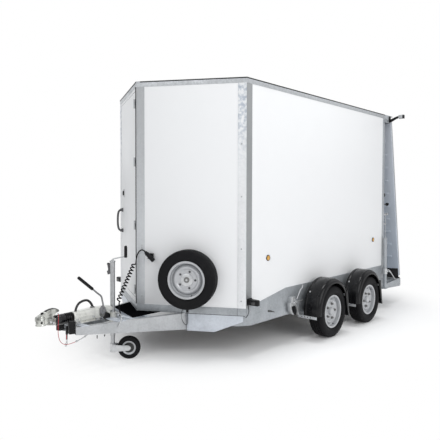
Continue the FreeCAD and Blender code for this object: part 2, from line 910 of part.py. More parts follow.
def guard_stays(x):
    """Flat stays that carry one left guard: under its front edge and inside its flap."""
    cx = x + guard_offset[0]
    front_x = cx + guard_radius * math.cos(math.radians(guard_front_angle))
    top = guard_centre_z + guard_radius * math.sin(math.radians(guard_front_angle)) - running_gap
    far_y = guard_outer_y - 35.0
    strip = box(front_x - stay_thickness, front_x, beam_outer_y, far_y, top - stay_height, top)
    tab = box(front_x - 40.0, front_x, beam_outer_y, beam_outer_y + stay_thickness, top - stay_height,
              beam_top_z - 4.0)
    front = fuse([strip, tab])

    end = math.radians(guard_rear_angle)
    knee = (cx + (guard_radius - guard_sheet) * math.cos(end),
            guard_centre_z + (guard_radius - guard_sheet) * math.sin(end))
    toe = (x + flap_bottom[0] + flap_thickness, flap_bottom[1])
    z1 = rear_stay_z + stay_height
    rear_x = knee[0] + (toe[0] - knee[0]) * (knee[1] - z1) / (knee[1] - toe[1]) + running_gap
    rear_strip = box(rear_x, rear_x + stay_thickness, half_width, far_y, rear_stay_z, z1)
    tab_y = half_width + stay_thickness
    rear_tab = box(rear_x - 36.0, rear_x + stay_thickness, half_width, tab_y, rear_stay_z, z1 + 30.0)
    return group([front, fuse([rear_strip, rear_tab])])


# Drawbar fittings
def drawbar_inner_y(x):
    """Where the inner face of the left drawbar beam stands at this x."""
    along = drawbar_line()[0]
    slope = -along[1] / along[0]
    width = drawbar_width / abs(along[0])
    return drawbar_front[1] + (drawbar_front[0] - x) * slope - width


def drawbar_outer_y(x):
    return drawbar_inner_y(x) + drawbar_width / abs(drawbar_line()[0][0])


def crossbar(x0, x1, z0, z1):
    """A bar between the two drawbar beams, cut to their inner faces."""
    points = [
        (x0, drawbar_inner_y(x0)),
        (x1, drawbar_inner_y(x1)),
        (x1, -drawbar_inner_y(x1)),
        (x0, -drawbar_inner_y(x0)),
    ]
    return plate_xy(points, z0, z1)


def top_plate(x0, x1):
    points = [
        (x0, drawbar_outer_y(x0)),
        (x1, drawbar_outer_y(x1)),
        (x1, -drawbar_outer_y(x1)),
        (x0, -drawbar_outer_y(x0)),
    ]
    return plate_xy(points, beam_top_z, plate_top_z)


def drawbar_plates():
    front = top_plate(housing_front_x - 5.0, housing_front_x - 75.0)
    rear = top_plate(housing_rear_x + 90.0, housing_rear_x + 10.0)
    return group([front, rear])


def drawbar_crossbars():
    low = beam_top_z - 70.0
    jockey_bar = crossbar(jockey_x - 75.0, jockey_x - 35.0, low, beam_top_z)
    step_bar = crossbar(step_bar_x, step_bar_x - 40.0, low, beam_top_z)
    under_floor = crossbar(-560.0, -600.0, low, beam_top_z)
    return group([jockey_bar, step_bar, under_floor])


def outrigger():
    """Plate in line with the nose wall, from the drawbar beam out to the corner."""
    inner_s = math.hypot(nose_depth - drawbar_nose_point[0], drawbar_nose_point[1]) + 6.0
    outer_s = nose_length - outrigger_corner_gap
    profile = [
        (inner_s, beam_top_z - outrigger_depth),
        (outrigger_knee_s, beam_top_z - outrigger_depth),
        (outer_s, beam_top_z - outrigger_outer_depth),
        (outer_s, beam_top_z),
        (inner_s, beam_top_z),
    ]
    start = on_nose(0.0, 0.0, 1)
    corners = []
    for s, z in profile:
        x = start[0] + nose_along[0] * s
        y = start[1] + nose_along[1] * s
        corners.append(Vector(x, y, z))
    face = Part.Face(Part.makePolygon(corners + corners[:1]))
    return face.extrude(Vector(-nose_out[0], -nose_out[1], 0) * outrigger_thickness)


def front_step():
    left = on_nose(step_left_s, 0.0, 1)
    right = on_nose(step_right_s, 0.0, -1)
    side_y = drawbar_outer_y(step_side_x) - step_side_inset
    front_y = drawbar_outer_y(step_front_x) - step_front_inset
    points = [right, (step_side_x, -side_y), (step_front_x, front_y), left, nose_mitre(0)]
    return plate_xy(points, beam_top_z, beam_top_z + 4.0)


def end_block():
    """Rubber cap on the front end of a drawbar beam."""
    block = box(-end_block_length, 0.0, -drawbar_width, 0.0, *end_block_z)
    upright = [e for e in block.Edges if abs(e.tangentAt(0).z) > 0.9]
    return on_drawbar(block.makeFillet(5.0, upright))


def coupling_head():
    """Pressed ball head on its draw tube, with the release handle on top."""
    ball_x = coupling_nose_x - cup_radius - 4.0
    cup = cylinder(cup_radius, 46.0, (ball_x, 0, ball_z - 34.0), (0, 0, 1))
    dome = Part.makeSphere(cup_radius, Vector(ball_x, 0, ball_z + 12.0))
    lip = cylinder(cup_radius + 4.0, 6.0, (ball_x, 0, ball_z - 34.0), (0, 0, 1))
    neck = Part.makeLoft([
        neck_section(ball_x, 34.0, ball_z - 28.0, ball_z + 22.0),
        neck_section(gaiter_front_x + 2.0, 30.0, coupling_axis_z - 24.0, coupling_axis_z + 28.0),
    ], True)
    tube_length = gaiter_front_x + 3.0 - tube_rear_x
    tube = cylinder(drawtube_radius, tube_length, (tube_rear_x, 0, coupling_axis_z), (1, 0, 0))
    head = fuse([cup, dome, lip, neck, release_handle(ball_x), tube])
    socket_top = ball_z + 4.0
    socket = cylinder(ball_radius, socket_top - ball_z + 40.0, (ball_x, 0, ball_z - 40.0), (0, 0, 1))
    crown = Part.makeSphere(ball_radius, Vector(ball_x, 0, socket_top))
    return head.cut(socket).cut(crown)


def neck_section(x, half, z0, z1):
    corners = [(-half, z0), (half, z0), (half, z1), (-half, z1), (-half, z0)]
    return Part.makePolygon([Vector(x, y, z) for y, z in corners])


def release_handle(ball_x):
    """Lever over the head, with room for the fingers under its rear end."""
    side = [(4.0, 8.0), (-40.0, 40.0), (-80.0, 64.0), (-134.0, 85.0), (-166.0, 78.0), (-172.0, 62.0),
            (-160.0, 54.0), (-132.0, 62.0), (-104.0, 40.0), (-96.0, 4.0), (-6.0, -8.0)]
    lever = plate_xz([(ball_x + dx, ball_z + dz) for dx, dz in side], -handle_width / 2.0, handle_width / 2.0)
    long_edges = [e for e in lever.Edges if abs(e.tangentAt(e.FirstParameter).y) < 0.1
                  and e.BoundBox.ZMin > ball_z + 38.0]
    return lever.makeFillet(5.0, long_edges)


def gaiter():
    inner = drawtube_radius + running_gap
    front = gaiter_front_x
    folds = gaiter_folds
    fold_start = gaiter_rear_x + 80.0
    pitch = (fold_start - gaiter_rear_x - 8.0) / folds
    outline = [(gaiter_rear_x, inner), (gaiter_rear_x, gaiter_radius)]
    for k in range(folds):
        x = gaiter_rear_x + 8.0 + k * pitch
        outline.append((x, gaiter_radius))
        outline.append((x + 0.5 * pitch, gaiter_radius - 9.0))
    outline.append((fold_start, gaiter_radius - 1.0))
    outline.append((front - 14.0, gaiter_radius - 5.0))
    outline.append((front, gaiter_radius - 16.0))
    outline.append((front, inner))
    points = [Vector(x, 0, coupling_axis_z + r) for x, r in outline + outline[:1]]
    face = Part.Face(Part.makePolygon(points))
    return face.revolve(Vector(0, 0, coupling_axis_z), Vector(1, 0, 0), 360)


def overrun_housing():
    """Cast housing of the overrun brake: round nose, rising back and open rear recess."""
    half = housing_width / 2.0
    side = [
        (housing_front_x, plate_top_z),
        (housing_front_x, housing_top_z - 5.0),
        (housing_front_x - 200.0, housing_top_z + 16.0),
        (housing_rear_x + 60.0, housing_top_z + 10.0),
        (housing_rear_x, housing_top_z),
        (housing_rear_x, housing_top_z - 40.0),
        (housing_rear_x + 110.0, housing_top_z - 50.0),
        (housing_rear_x + 140.0, plate_top_z),
    ]
    body = plate_xz(side, -half, half)
    long_edges = [e for e in body.Edges if abs(e.tangentAt(e.FirstParameter).x) > 0.9
                  and e.BoundBox.ZMin > housing_top_z - 30.0]
    body = body.makeFillet(16.0, long_edges)
    collar = cylinder(housing_collar_radius, 16.0, (housing_front_x - 16.0, 0, coupling_axis_z), (1, 0, 0))
    ridge = box(housing_rear_x + 150.0, housing_front_x - 30.0, -half - 4.0, half + 4.0,
                coupling_axis_z + 6.0, coupling_axis_z + 18.0)
    boss_base = (housing_rear_x + 68.0, -half - housing_boss_out, coupling_axis_z - 12.0)
    boss = cylinder(housing_boss_radius, housing_width + 2 * housing_boss_out, boss_base, (0, 1, 0))
    bore_end = tube_rear_x - 4.0
    bore = cylinder(drawtube_radius + running_gap, housing_front_x + 1.0 - bore_end,
                    (bore_end, 0, coupling_axis_z), (1, 0, 0))
    foot = box(housing_rear_x + 20.0, housing_rear_x + 80.0, -half, half, plate_top_z, plate_top_z + 12.0)
    web = box(housing_rear_x + 30.0, housing_rear_x + 60.0, -half, half, plate_top_z, housing_top_z - 30.0)
    damper = cylinder(22.0, 90.0, (housing_rear_x + 59.0, 0, plate_top_z + 26.0), (1, 0, 0))
    return fuse([fuse([body, collar, ridge]).cut(bore), foot, web, damper, boss])


def handbrake_lever():
    y = housing_width / 2.0 + 9.0
    points = [(x, y, z) for x, z in lever_path]
    rod = tube_path(points, lever_radius)
    away = Vector(*points[-1]) - Vector(*points[-2])
    grip = Part.makeCylinder(lever_grip_radius, away.Length - 10.0, Vector(*points[-2]) + away * 0.06, away)
    pivot = cylinder(20.0, 18.0, (lever_path[0][0], housing_width / 2.0, lever_path[0][1]), (0, 1, 0))
    return fuse([rod, grip, pivot])


def grab_handle():
    points = [(x, 0.0, housing_top_z + rise) for x, rise in grab_path]
    return tube_path(points, grab_radius)


# Jockey wheel
def jockey_clamp():
    z0 = beam_top_z - 66.0
    z1 = beam_top_z + 36.0
    x0 = jockey_x - 35.0
    ring = cylinder(jockey_tube_radius + 9.0, z1 - z0, (jockey_x, jockey_y, z0), (0, 0, 1))
    block = box(x0, jockey_x, jockey_y - 20.0, jockey_y + 20.0, z0, z1)
    rear_lug = box(x0, jockey_x - 20.0, jockey_y - 32.0, jockey_y + 32.0, beam_top_z, z1)
    bore = cylinder(jockey_tube_radius, z1 - z0 + 2, (jockey_x, jockey_y, z0 - 1), (0, 0, 1))
    clamp = fuse([ring, block, rear_lug]).cut(bore)
    rod = tube_path(
        [
            (jockey_x - 22.0, jockey_y + 30.0, z1 - 12.0),
            (jockey_x + 30.0, jockey_y + 130.0, z1 + 14.0),
            (jockey_x + 100.0, drawbar_outer_y(jockey_x + 100.0) + 16.0, z1 + 4.0),
            (jockey_x + 136.0, drawbar_outer_y(jockey_x + 136.0) + 20.0, z1 - 80.0),
        ],
        5.0,
    )
    return fuse([clamp, rod])


def jockey_tube():
    """Outer tube with its head, the crank arm and the upright grip."""
    x, y = jockey_x, jockey_y
    tube = cylinder(jockey_tube_radius, jockey_tube_top_z - jockey_tube_bottom_z,
                    (x, y, jockey_tube_bottom_z), (0, 0, 1))
    bore = cylinder(jockey_inner_radius + running_gap, jockey_bore_top_z - jockey_tube_bottom_z + 1,
                    (x, y, jockey_tube_bottom_z - 1), (0, 0, 1))
    cap = cylinder(jockey_tube_radius + 4.0, 14.0, (x, y, jockey_tube_top_z - 6.0), (0, 0, 1))
    post = cylinder(9.0, 12.0, (x, y, jockey_tube_top_z + 6.0), (0, 0, 1))
    reach = (crank_end[0] - x, crank_end[1] - y)
    length = math.hypot(*reach)
    low = jockey_tube_top_z + 7.0
    high = jockey_tube_top_z + crank_rise
    arm = plate_xz([(0, low), (0, low + 12.0), (length - 10, high), (length + 10, high),
                    (length + 10, high - 12.0), (length, high - 14.0)], -10.0, 10.0)
    arm.rotate(Vector(0, 0, 0), Vector(0, 0, 1), math.degrees(math.atan2(reach[1], reach[0])))
    arm.translate(Vector(x, y, 0))
    grip = cylinder(14.0, 104.0, (crank_end[0], crank_end[1], high - 10.0), (0, 0, 1))
    return fuse([tube.cut(bore), cap, post, arm, grip])


def jockey_inner_tube():
    low = jockey_sleeve_top_z + 0.3
    outer = cylinder(jockey_inner_radius, jockey_inner_top_z - low, (jockey_x, jockey_y, low), (0, 0, 1))
    bore_radius = jockey_inner_radius - 3.0
    bore = cylinder(bore_radius, jockey_inner_top_z, (jockey_x, jockey_y, low + 20.0), (0, 0, 1))
    stem = cylinder(10.0, 70.0, (jockey_x, jockey_y, low - 70.0), (0, 0, 1))
    collar = cylinder(jockey_inner_radius - 4.0, 6.0, (jockey_x, jockey_y, low - 76.0), (0, 0, 1))
    return fuse([outer.cut(bore), stem, collar])


def jockey_axis():
    length = math.hypot(*jockey_trail)
    back = (jockey_trail[0] / length, jockey_trail[1] / length)
    return length, back


def turned_to_trail(shape):
    back = jockey_axis()[1]
    placed = shape.copy()
    placed.rotate(Vector(0, 0, 0), Vector(0, 0, 1), math.degrees(math.atan2(back[1], back[0])))
    placed.translate(Vector(jockey_x, jockey_y, 0))
    return placed


def jockey_fork():
    """Swivel sleeve with two side plates back to the wheel axle; drawn with +x along the trail."""
    trail = jockey_axis()[0]
    gap = jockey_wheel_width / 2.0 + 6.0
    top = jockey_sleeve_top_z
    low = top - 84.0
    z = jockey_wheel_radius
    sleeve = cylinder(26.0, top - low, (0, 0, low), (0, 0, 1))
    bridge = box(0.0, 36.0, -gap - 4.0, gap + 4.0, low, top)
    stem_hole = cylinder(10.3, 100.0, (0, 0, low - 1.0), (0, 0, 1))
    collar_room = cylinder(16.5, top - 68.0 - low, (0, 0, low - 1.0), (0, 0, 1))
    outline = [
        (0.0, low), (0.0, top), (40.0, top), (trail - 10.0, z + 38.0), (trail + 22.0, z + 24.0),
        (trail + 22.0, z - 24.0), (trail - 10.0, z - 38.0), (40.0, low),
    ]
    plate = plate_xz(outline, gap, gap + 4.0)
    other = plate_xz(outline, -gap - 4.0, -gap)
    axle_pin = cylinder(jockey_pin_radius, 2 * gap + 20.0, (trail, -gap - 10.0, z), (0, 1, 0))
    clear_wheel = cylinder(jockey_wheel_radius + 5.0, 2 * gap, (trail, -gap, z), (0, 1, 0))
    body = fuse([sleeve, bridge]).cut(clear_wheel)
    fork = fuse([body, plate, other, axle_pin])
    return turned_to_trail(fork.cut(stem_hole).cut(collar_room))


def jockey_wheel():
    trail = jockey_axis()[0]
    r = jockey_wheel_radius
    half = jockey_wheel_width / 2.0
    bore = jockey_pin_radius + running_gap
    outline = [
        (-half + 4.0, bore), (-half + 4.0, 22.0), (-8.0, 26.0), (-8.0, 60.0), (-half + 6.0, 66.0),
        (-half, 74.0), (-half, r - 16.0), (-half + 14.0, r - 2.0), (0.0, r), (half - 14.0, r - 2.0),
        (half, r - 16.0), (half, 74.0), (half - 6.0, 66.0), (8.0, 60.0), (8.0, 26.0), (half - 4.0, 22.0),
        (half - 4.0, bore),
    ]
    return turned_to_trail(revolve_y(outline, (trail, 0.0, r)))


# Prop stands and their clamps
def prop_stand():
    sole_z = stand_bottom_z + 6.0
    foot = box(stand_x - 45.0, stand_x + 45.0, stand_y - 34.0, stand_y + 34.0, stand_bottom_z, sole_z)
    tube = cylinder(stand_radius, stand_top_z - sole_z, (stand_x, stand_y, sole_z), (0, 0, 1))
    bore = cylinder(stand_radius - 3.5, stand_top_z, (stand_x, stand_y, stand_bottom_z + 30.0), (0, 0, 1))
    return fuse([tube.cut(bore), foot])


def stand_clamp(x, z0, z1):
    with_bore_radius = stand_radius + running_gap
    ring = cylinder(with_bore_radius + 8.0, z1 - z0, (x, stand_y, z0), (0, 0, 1))
    back = box(x - 30.0, x + 30.0, half_width, half_width + 6.0, z0 - 8.0, z1 + 22.0)
    neck = box(x - 14.0, x + 14.0, half_width, stand_y, z0, z1)
    bore = cylinder(with_bore_radius, z1 - z0 + 2.0, (x, stand_y, z0 - 1.0), (0, 0, 1))
    screw = cylinder(5.0, 44.0, (x, stand_y + with_bore_radius + 6.0, 0.5 * (z0 + z1)), (0, 1, 0))
    bar_start = (x - 30.0, stand_y + with_bore_radius + 46.0, 0.5 * (z0 + z1) - 22.0)
    bar = cylinder(4.5, 84.0, bar_start, (0.78, 0, 0.62))
    return fuse([fuse([ring, back, neck]).cut(bore), screw, bar])


def stand_clamps():
    rear = stand_clamp(stand_x, *rear_clamp_z)
    front = stand_clamp(front_clamp_x, *front_clamp_z)
    return group([rear, front, mirrored(rear), mirrored(front)])


# Door
def front_door():
    leaf = nose_panel(door_near_s, door_far_s, -1, door_bottom_z, door_top_z)
    skin = [
        on_nose(door_near_s, 0, -1),
        on_nose(door_far_s, 0, -1),
        on_nose(door_far_s, sheet, -1),
        on_nose(door_near_s, sheet, -1),
    ]
    return fuse([leaf, plate_xy(skin, door_bottom_z, door_top_z)])


def nose_block(s0, s1, out0, out1, z0, z1):
    points = [on_nose(s0, -out0, -1), on_nose(s1, -out0, -1), on_nose(s1, -out1, -1), on_nose(s0, -out1, -1)]
    return plate_xy(points, z0, z1)


def hinge_knuckle(z0, z1, radius):
    x, y = on_nose(door_hinge_s, -door_hinge_out, -1)
    return cylinder(radius, z1 - z0, (x, y, z0), (0, 0, 1))


def door_hinges_fixed():
    pieces = []
    for z in door_hinge_z:
        for z0, z1 in ((z - 45.0, z - 16.0), (z + 16.0, z + 45.0)):
            leaf = nose_block(8.0, 36.0, 0.0, 9.0, z0, z1)
            pieces.append(fuse([leaf, hinge_knuckle(z0, z1, 9.0)]))
        pin = hinge_knuckle(z - 20.0, z + 20.0, 4.5)
        pieces[-2:] = [fuse(pieces[-2:] + [pin])]
    return group(pieces)


def door_hinges_moving():
    pieces = []
    for z in door_hinge_z:
        strap = nose_block(door_near_s + 1.0, door_near_s + 74.0, 0.0, 4.0, z - 26.0, z + 26.0)
        arm = nose_block(door_hinge_s, door_near_s + 4.0, 0.8, 9.0, z - 15.5, z + 15.5)
        barrel = hinge_knuckle(z - 15.5, z + 15.5, 9.0)
        bore = hinge_knuckle(z - 17.0, z + 17.0, 4.8)
        pieces.append(fuse([strap, arm, barrel]).cut(bore))
    return group(pieces)


def door_handle():
    """Long D handle and the square latch above it."""
    handle_s = door_far_s - handle_from_edge
    latch_s = door_far_s - latch_from_edge
    z0, z1 = [door_bottom_z + up for up in handle_up]
    points_sz = [(0.0, z0), (62.0, z0), (62.0, z1), (0.0, z1)]
    path = []
    for out, z in points_sz:
        x, y = on_nose(handle_s, -out, -1)
        path.append((x, y, z))
    grip = tube_path(path, 9.0)
    half = latch_size / 2.0
    latch = nose_block(latch_s - half, latch_s + half, 0.0, 14.0, door_bottom_z + latch_up[0],
                       door_bottom_z + latch_up[1])
    return group([grip, latch])


# Ramp
def ramp_axes():
    dx = ramp_top[0] - ramp_bottom[0]
    dz = ramp_top[1] - ramp_bottom[1]
    length = math.hypot(dx, dz)
    up = (dx / length, dz / length)
    inward = (up[1], -up[0])
    return length, up, inward


def ramp_point(along, depth):
    up, inward = ramp_axes()[1:]
    x = ramp_bottom[0] + up[0] * along + inward[0] * depth
    z = ramp_bottom[1] + up[1] * along + inward[1] * depth
    return (x, z)


def ramp_slab(a0, a1, d0, d1, y0, y1):
    return plate_xz([ramp_point(a0, d0), ramp_point(a1, d0), ramp_point(a1, d1), ramp_point(a0, d1)], y0, y1)


def ramp_frame():
    """Outer skin in a welded rim with cross ribs; the bays are open towards the tread."""
    length = ramp_axes()[0]
    y = ramp_half_width
    depth = ramp_thickness - ramp_tread_thickness
    slab = ramp_slab(0.0, length, 0.0, depth, -y, y)
    bay = (length - 2 * ramp_rim + ramp_rib) / ramp_bays
    pockets = []
    for k in range(ramp_bays):
        a0 = ramp_rim + k * bay
        pockets.append(ramp_slab(a0, a0 + bay - ramp_rib, sheet, depth + 1.0, -y + ramp_rim, y - ramp_rim))
    return fuse([slab.cut(group(pockets))] + ramp_hinge_tabs())


def ramp_tread():
    """Plywood tread with cross battens for grip."""
    length = ramp_axes()[0]
    y = ramp_half_width
    pieces = [ramp_slab(0.0, length, ramp_thickness - ramp_tread_thickness, ramp_thickness, -y, y)]
    count = int((length - 2 * ramp_rim) // batten_pitch)
    for k in range(count):
        a = ramp_rim + 30.0 + k * batten_pitch
        pieces.append(ramp_slab(a, a + batten_width, ramp_thickness - 1.0, ramp_thickness + batten_height,
                                -y + batten_inset, y - batten_inset))
    return fuse(pieces)


def ramp_knuckle(y0, y1, radius):
    return cylinder(radius, y1 - y0, (ramp_hinge[0], y0, ramp_hinge[1]), (0, 1, 0))


def ramp_hinges_fixed():
    pieces = []
    for y in ramp_hinge_y:
        parts = []
        for y0, y1 in ((y - 70.0, y - 26.0), (y + 26.0, y + 70.0)):
            block = box(ramp_hinge[0] - ramp_knuckle_radius, ramp_hinge[0] + ramp_knuckle_radius, y0, y1,
                        rear_arm_end_z[1], ramp_hinge[1])
            parts.append(fuse([block, ramp_knuckle(y0, y1, ramp_knuckle_radius)]))
        pieces.append(fuse(parts + [ramp_knuckle(y - 30.0, y + 30.0, ramp_pin_radius)]))
    return group(pieces)


def ramp_hinge_tabs():
    pieces = []
    for y in ramp_hinge_y:
        tab = plate_xz(
            [
                (ramp_hinge[0] - 8.0, ramp_hinge[1]),
                ramp_point(0.0, 4.0),
                ramp_point(0.0, 40.0),
                (ramp_hinge[0] + ramp_knuckle_radius, ramp_hinge[1]),
            ],
            y - 25.0,
            y + 25.0,
        )
        barrel = ramp_knuckle(y - 25.0, y + 25.0, ramp_knuckle_radius)
        bore = ramp_knuckle(y - 26.0, y + 26.0, ramp_pin_radius + running_gap)
        pieces.append(fuse([tab, barrel]).cut(bore))
    return pieces


# Spare wheel
def spare_wheel():
    out = spare_back_gap + tyre_width / 2.0
    centre = (0.0, 0.0, 0.0)
    tyre_shape = tyre(centre)
    rim_shape = rim(centre, 1)
    placed = []
    for shape in (tyre_shape, rim_shape):
        turned = shape.copy()
        turned.rotate(Vector(0, 0, 0), Vector(0, 0, 1), -90.0)
        placed.append(on_nose_wall(turned, spare_s, spare_z, out, 1))
    return placed


def spare_carrier():
    """Plate on the wall, a boss up to the wheel disc and the hub nut."""
    middle = spare_back_gap + tyre_width / 2.0
    back = middle + disc_y
    front = back + disc_thickness
    plate = box(-sheet, 6.0, -70.0, 70.0, -90.0, 90.0)
    boss = cylinder(carrier_boss_radius, back, (0, 0, 0), (1, 0, 0))
    stud = cylinder(stub_radius, front + 12.0, (0, 0, 0), (1, 0, 0))
    nut = cylinder(carrier_plate_radius, 8.0, (front + running_gap, 0, 0), (1, 0, 0))
    cap = cylinder(carrier_cap_radius, 14.0, (front + 6.0, 0, 0), (1, 0, 0))
    return on_nose_wall(fuse([plate, boss, stud, nut, cap]), spare_s, spare_z, 0.0, 1)


# Lamps
def front_marker():
    """Rubber arm on the corner post with a raised lens that faces forwards."""
    z = front_marker_z
    y0 = half_width
    y1 = half_width + front_marker_reach
    plan = [(-84.0, y0), (-14.0, y0), (-22.0, y1 - 12.0), (-30.0, y1), (-58.0, y1), (-66.0, y1 - 12.0)]
    body = plate_xy(plan, z - 27.0, z + 27.0)
    crest = [e for e in body.Edges if abs(e.tangentAt(0).z) < 0.1 and e.BoundBox.YMax > y1 - 1.0]
    lens = box(-46.0, -15.0, y0 + 42.0, y1 - 24.0, z - 17.0, z + 17.0)
    return fuse([body.makeFillet(6.0, crest), lens])


def rear_marker():
    """Rubber arm that stands off the side of the hood, with a two-way lamp at its end."""
    z = roof_top_z - rear_marker_drop
    x = -side_length - rear_marker_back
    y0 = half_width
    tip = y0 + rear_marker_reach
    base = box(x - 20.0, x + 20.0, y0, y0 + 12.0, z - 44.0, z + 44.0)
    rising = [(y0 + 10.0, z - 40.0), (y0 + 10.0, z - 4.0), (tip - 66.0, z + 38.0), (tip - 66.0, z + 14.0)]
    arm = plate_yz(rising, x - 9.0, x + 9.0)
    lamp = box(x - 26.0, x + 26.0, tip - 70.0, tip, z - 1.0, z + 51.0)
    return fuse([base, arm, lamp])


def tail_lamp():
    x = rear_arm_end_x
    y1 = half_width - tail_lamp_margin
    z0, z1 = rear_arm_end_z[0] + tail_lamp_inset_z[0], rear_arm_end_z[1] - tail_lamp_inset_z[1]
    return box(x - tail_lamp_depth, x, y1 - tail_lamp_width, y1, z0, z1)


def side_reflectors():
    spots = (reflector_front, (-side_length + reflector_rear_margin, reflector_rear_z))
    discs = []
    for x, z in spots:
        discs.append(cylinder(reflector_radius, reflector_depth, (x, half_width - sheet, z), (0, 1, 0)))
    left = group(discs)
    return group([left, mirrored(left)])


# Electric lead
def coil_run(distance):
    """A point on the coil's centre line: before its low end if negative, else past its high end."""
    along = (Vector(*coil_high) - Vector(*coil_low)).normalize()
    spot = Vector(*(coil_low if distance < 0 else coil_high)) + along * distance
    return (spot.x, spot.y, spot.z)


def lead_coil():
    start = Vector(*coil_low)
    run = Vector(*coil_high) - start
    return Part.makeCylinder(coil_radius, run.Length, start, run)


def lead_lower():
    points = [lead_start, (800.0, 52.0, 455.0), (812.0, 44.0, 496.0), coil_run(-34.0), coil_low]
    return tube_path(points, lead_radius)


def plug_spot(along):
    """A point on the plug's axis, which runs down and back along the nose wall."""
    x, y = on_nose(plug_s + along, -plug_out, 1)
    return (x, y, plug_z - along)


def lead_upper():
    before_plug = plug_spot(-plug_half - 26.0)
    route = [coil_high, coil_run(40.0), (556.0, 38.0, 992.0), (541.0, 50.0, 1030.0)]
    return tube_path(route + [before_plug, plug_spot(-plug_half)], lead_radius)


def lead_plug():
    start = Vector(*plug_spot(-plug_half))
    run = Vector(*plug_spot(plug_half)) - start
    return Part.makeCylinder(plug_radius, run.Length, start, run)


def plug_park():
    """Bracket on the wall that holds the plug."""
    depth = plug_out - plug_radius - running_gap + sheet
    plate = box(0.0, depth, -28.0, 28.0, plug_z - 28.0, plug_z + 28.0)
    return on_nose_wall(plate, plug_s, 0.0, -sheet, 1)


# Breakaway cable
def breakaway_cable():
    return tube_path(cable_points, cable_radius)


def cable_hanger():
    """Short arm under the front plate with the strap and eye that guide the cable."""
    x0 = housing_front_x - 10.0
    x1 = x0 + 76.0
    arm = box(x0 - 20.0, x1, 4.0, 28.0, beam_top_z - 12.0, beam_top_z)
    strap = box(x1 - 6.0, x1, 4.0, 28.0, 268.0, beam_top_z)
    return fuse([arm, strap])


# Name every piece
nodes = {}
sole_left = sole_plate()
nodes["sole_plates"] = group([sole_left, mirrored(sole_left), nose_rail(1), nose_rail(-1)])
nodes["floor"] = plate_xy(body_outline(wall_inner, -side_length + portal_depth), floor_bottom_z, floor_top_z)
nodes["side_panels"] = both_sides(side_panel())
nodes["nose_panel_left"] = nose_panel(post_core, nose_length - post_core, 1, floor_bottom_z, roof_bottom_z)
nodes["door_surround"] = door_surround()
nodes["posts"] = group([nose_post(), corner_post(1), corner_post(-1)])
nodes["roof"] = plate_xy(body_outline(sheet, -side_length), roof_bottom_z, roof_top_z - sheet)
nodes["roof_rails"] = roof_rails()
nodes["rear_frame"] = rear_frame()
nodes["rear_shutter"] = rear_shutter()
nodes["rear_hood"] = rear_hood()
nodes["rear_deck"] = rear_deck()
nodes["side_beams"] = both_sides(side_beam())
nodes["cross_members"] = group([cross_member(x, beam_inner_y) for x in cross_member_x] + [rear_bar()])
nodes["axles"] = group([axle(x) for x in axle_x])
guards = group([mudguard(x) for x in axle_x])
nodes["mudguards"] = group([guards, mirrored(guards)])
stays = group([guard_stays(x) for x in axle_x])
nodes["guard_stays"] = group([stays, mirrored(stays)])

for end_name, x in (("front", axle_x[0]), ("rear", axle_x[1])):
    for side_name, side in (("left", 1), ("right", -1)):
        tyre_shape, wheel_shape = road_wheel(x, side)
        nodes["tyre_" + end_name + "_" + side_name] = tyre_shape
        nodes["rim_" + end_name + "_" + side_name] = wheel_shape

nodes["drawbar_beams"] = both_sides(drawbar_beam())
nodes["drawbar_braces"] = group([drawbar_plates(), drawbar_crossbars(), both_sides(outrigger())])
nodes["beam_end_blocks"] = both_sides(end_block())
nodes["front_step"] = front_step()
nodes["coupling_head"] = coupling_head()
nodes["gaiter"] = gaiter()
nodes["overrun_housing"] = overrun_housing()
nodes["handbrake_lever"] = handbrake_lever()
nodes["grab_handle"] = grab_handle()

nodes["jockey_clamp"] = jockey_clamp()
nodes["jockey_tube"] = jockey_tube()
nodes["jockey_inner_tube"] = jockey_inner_tube()
nodes["jockey_fork"] = jockey_fork()
nodes["jockey_wheel"] = jockey_wheel()

nodes["stand_left"] = prop_stand()
nodes["stand_right"] = mirrored(prop_stand())
nodes["stand_clamps"] = stand_clamps()

nodes["front_door"] = front_door()
nodes["door_fittings"] = group([door_hinges_moving(), door_handle()])
nodes["fixed_hinges"] = group([door_hinges_fixed(), ramp_hinges_fixed()])
nodes["ramp_frame"] = ramp_frame()
nodes["ramp_tread"] = ramp_tread()

nodes["spare_tyre"], nodes["spare_rim"] = spare_wheel()
nodes["spare_carrier"] = spare_carrier()
nodes["marker_lamps"] = group([both_sides(front_marker()), both_sides(rear_marker())])
nodes["tail_lamps"] = both_sides(tail_lamp())
nodes["side_reflectors"] = side_reflectors()

nodes["lead_lower"] = lead_lower()
nodes["lead_coil"] = lead_coil()
nodes["lead_upper"] = lead_upper()
nodes["lead_plug"] = lead_plug()
nodes["plug_park"] = plug_park()
nodes["breakaway_cable"] = breakaway_cable()
nodes["cable_hanger"] = cable_hanger()

# Write each piece, moved so that the origin is under the middle of the trailer
os.makedirs("parts", exist_ok=True)
for name, shape in nodes.items():
    placed = shape.copy()
    placed.translate(Vector(-middle_x, 0, 0))
    placed.exportStep("parts/" + name + ".step")
    limits = placed.BoundBox
    solids = len(placed.Solids)
    sound = all(solid.isValid() for solid in placed.Solids)
    print(name, solids, sound, round(placed.Volume / 1e6, 3), [round(v) for v in (
        limits.XMin, limits.XMax, limits.YMin, limits.YMax, limits.ZMin, limits.ZMax)])
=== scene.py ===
import bpy, math, json
from mathutils import Matrix, Vector

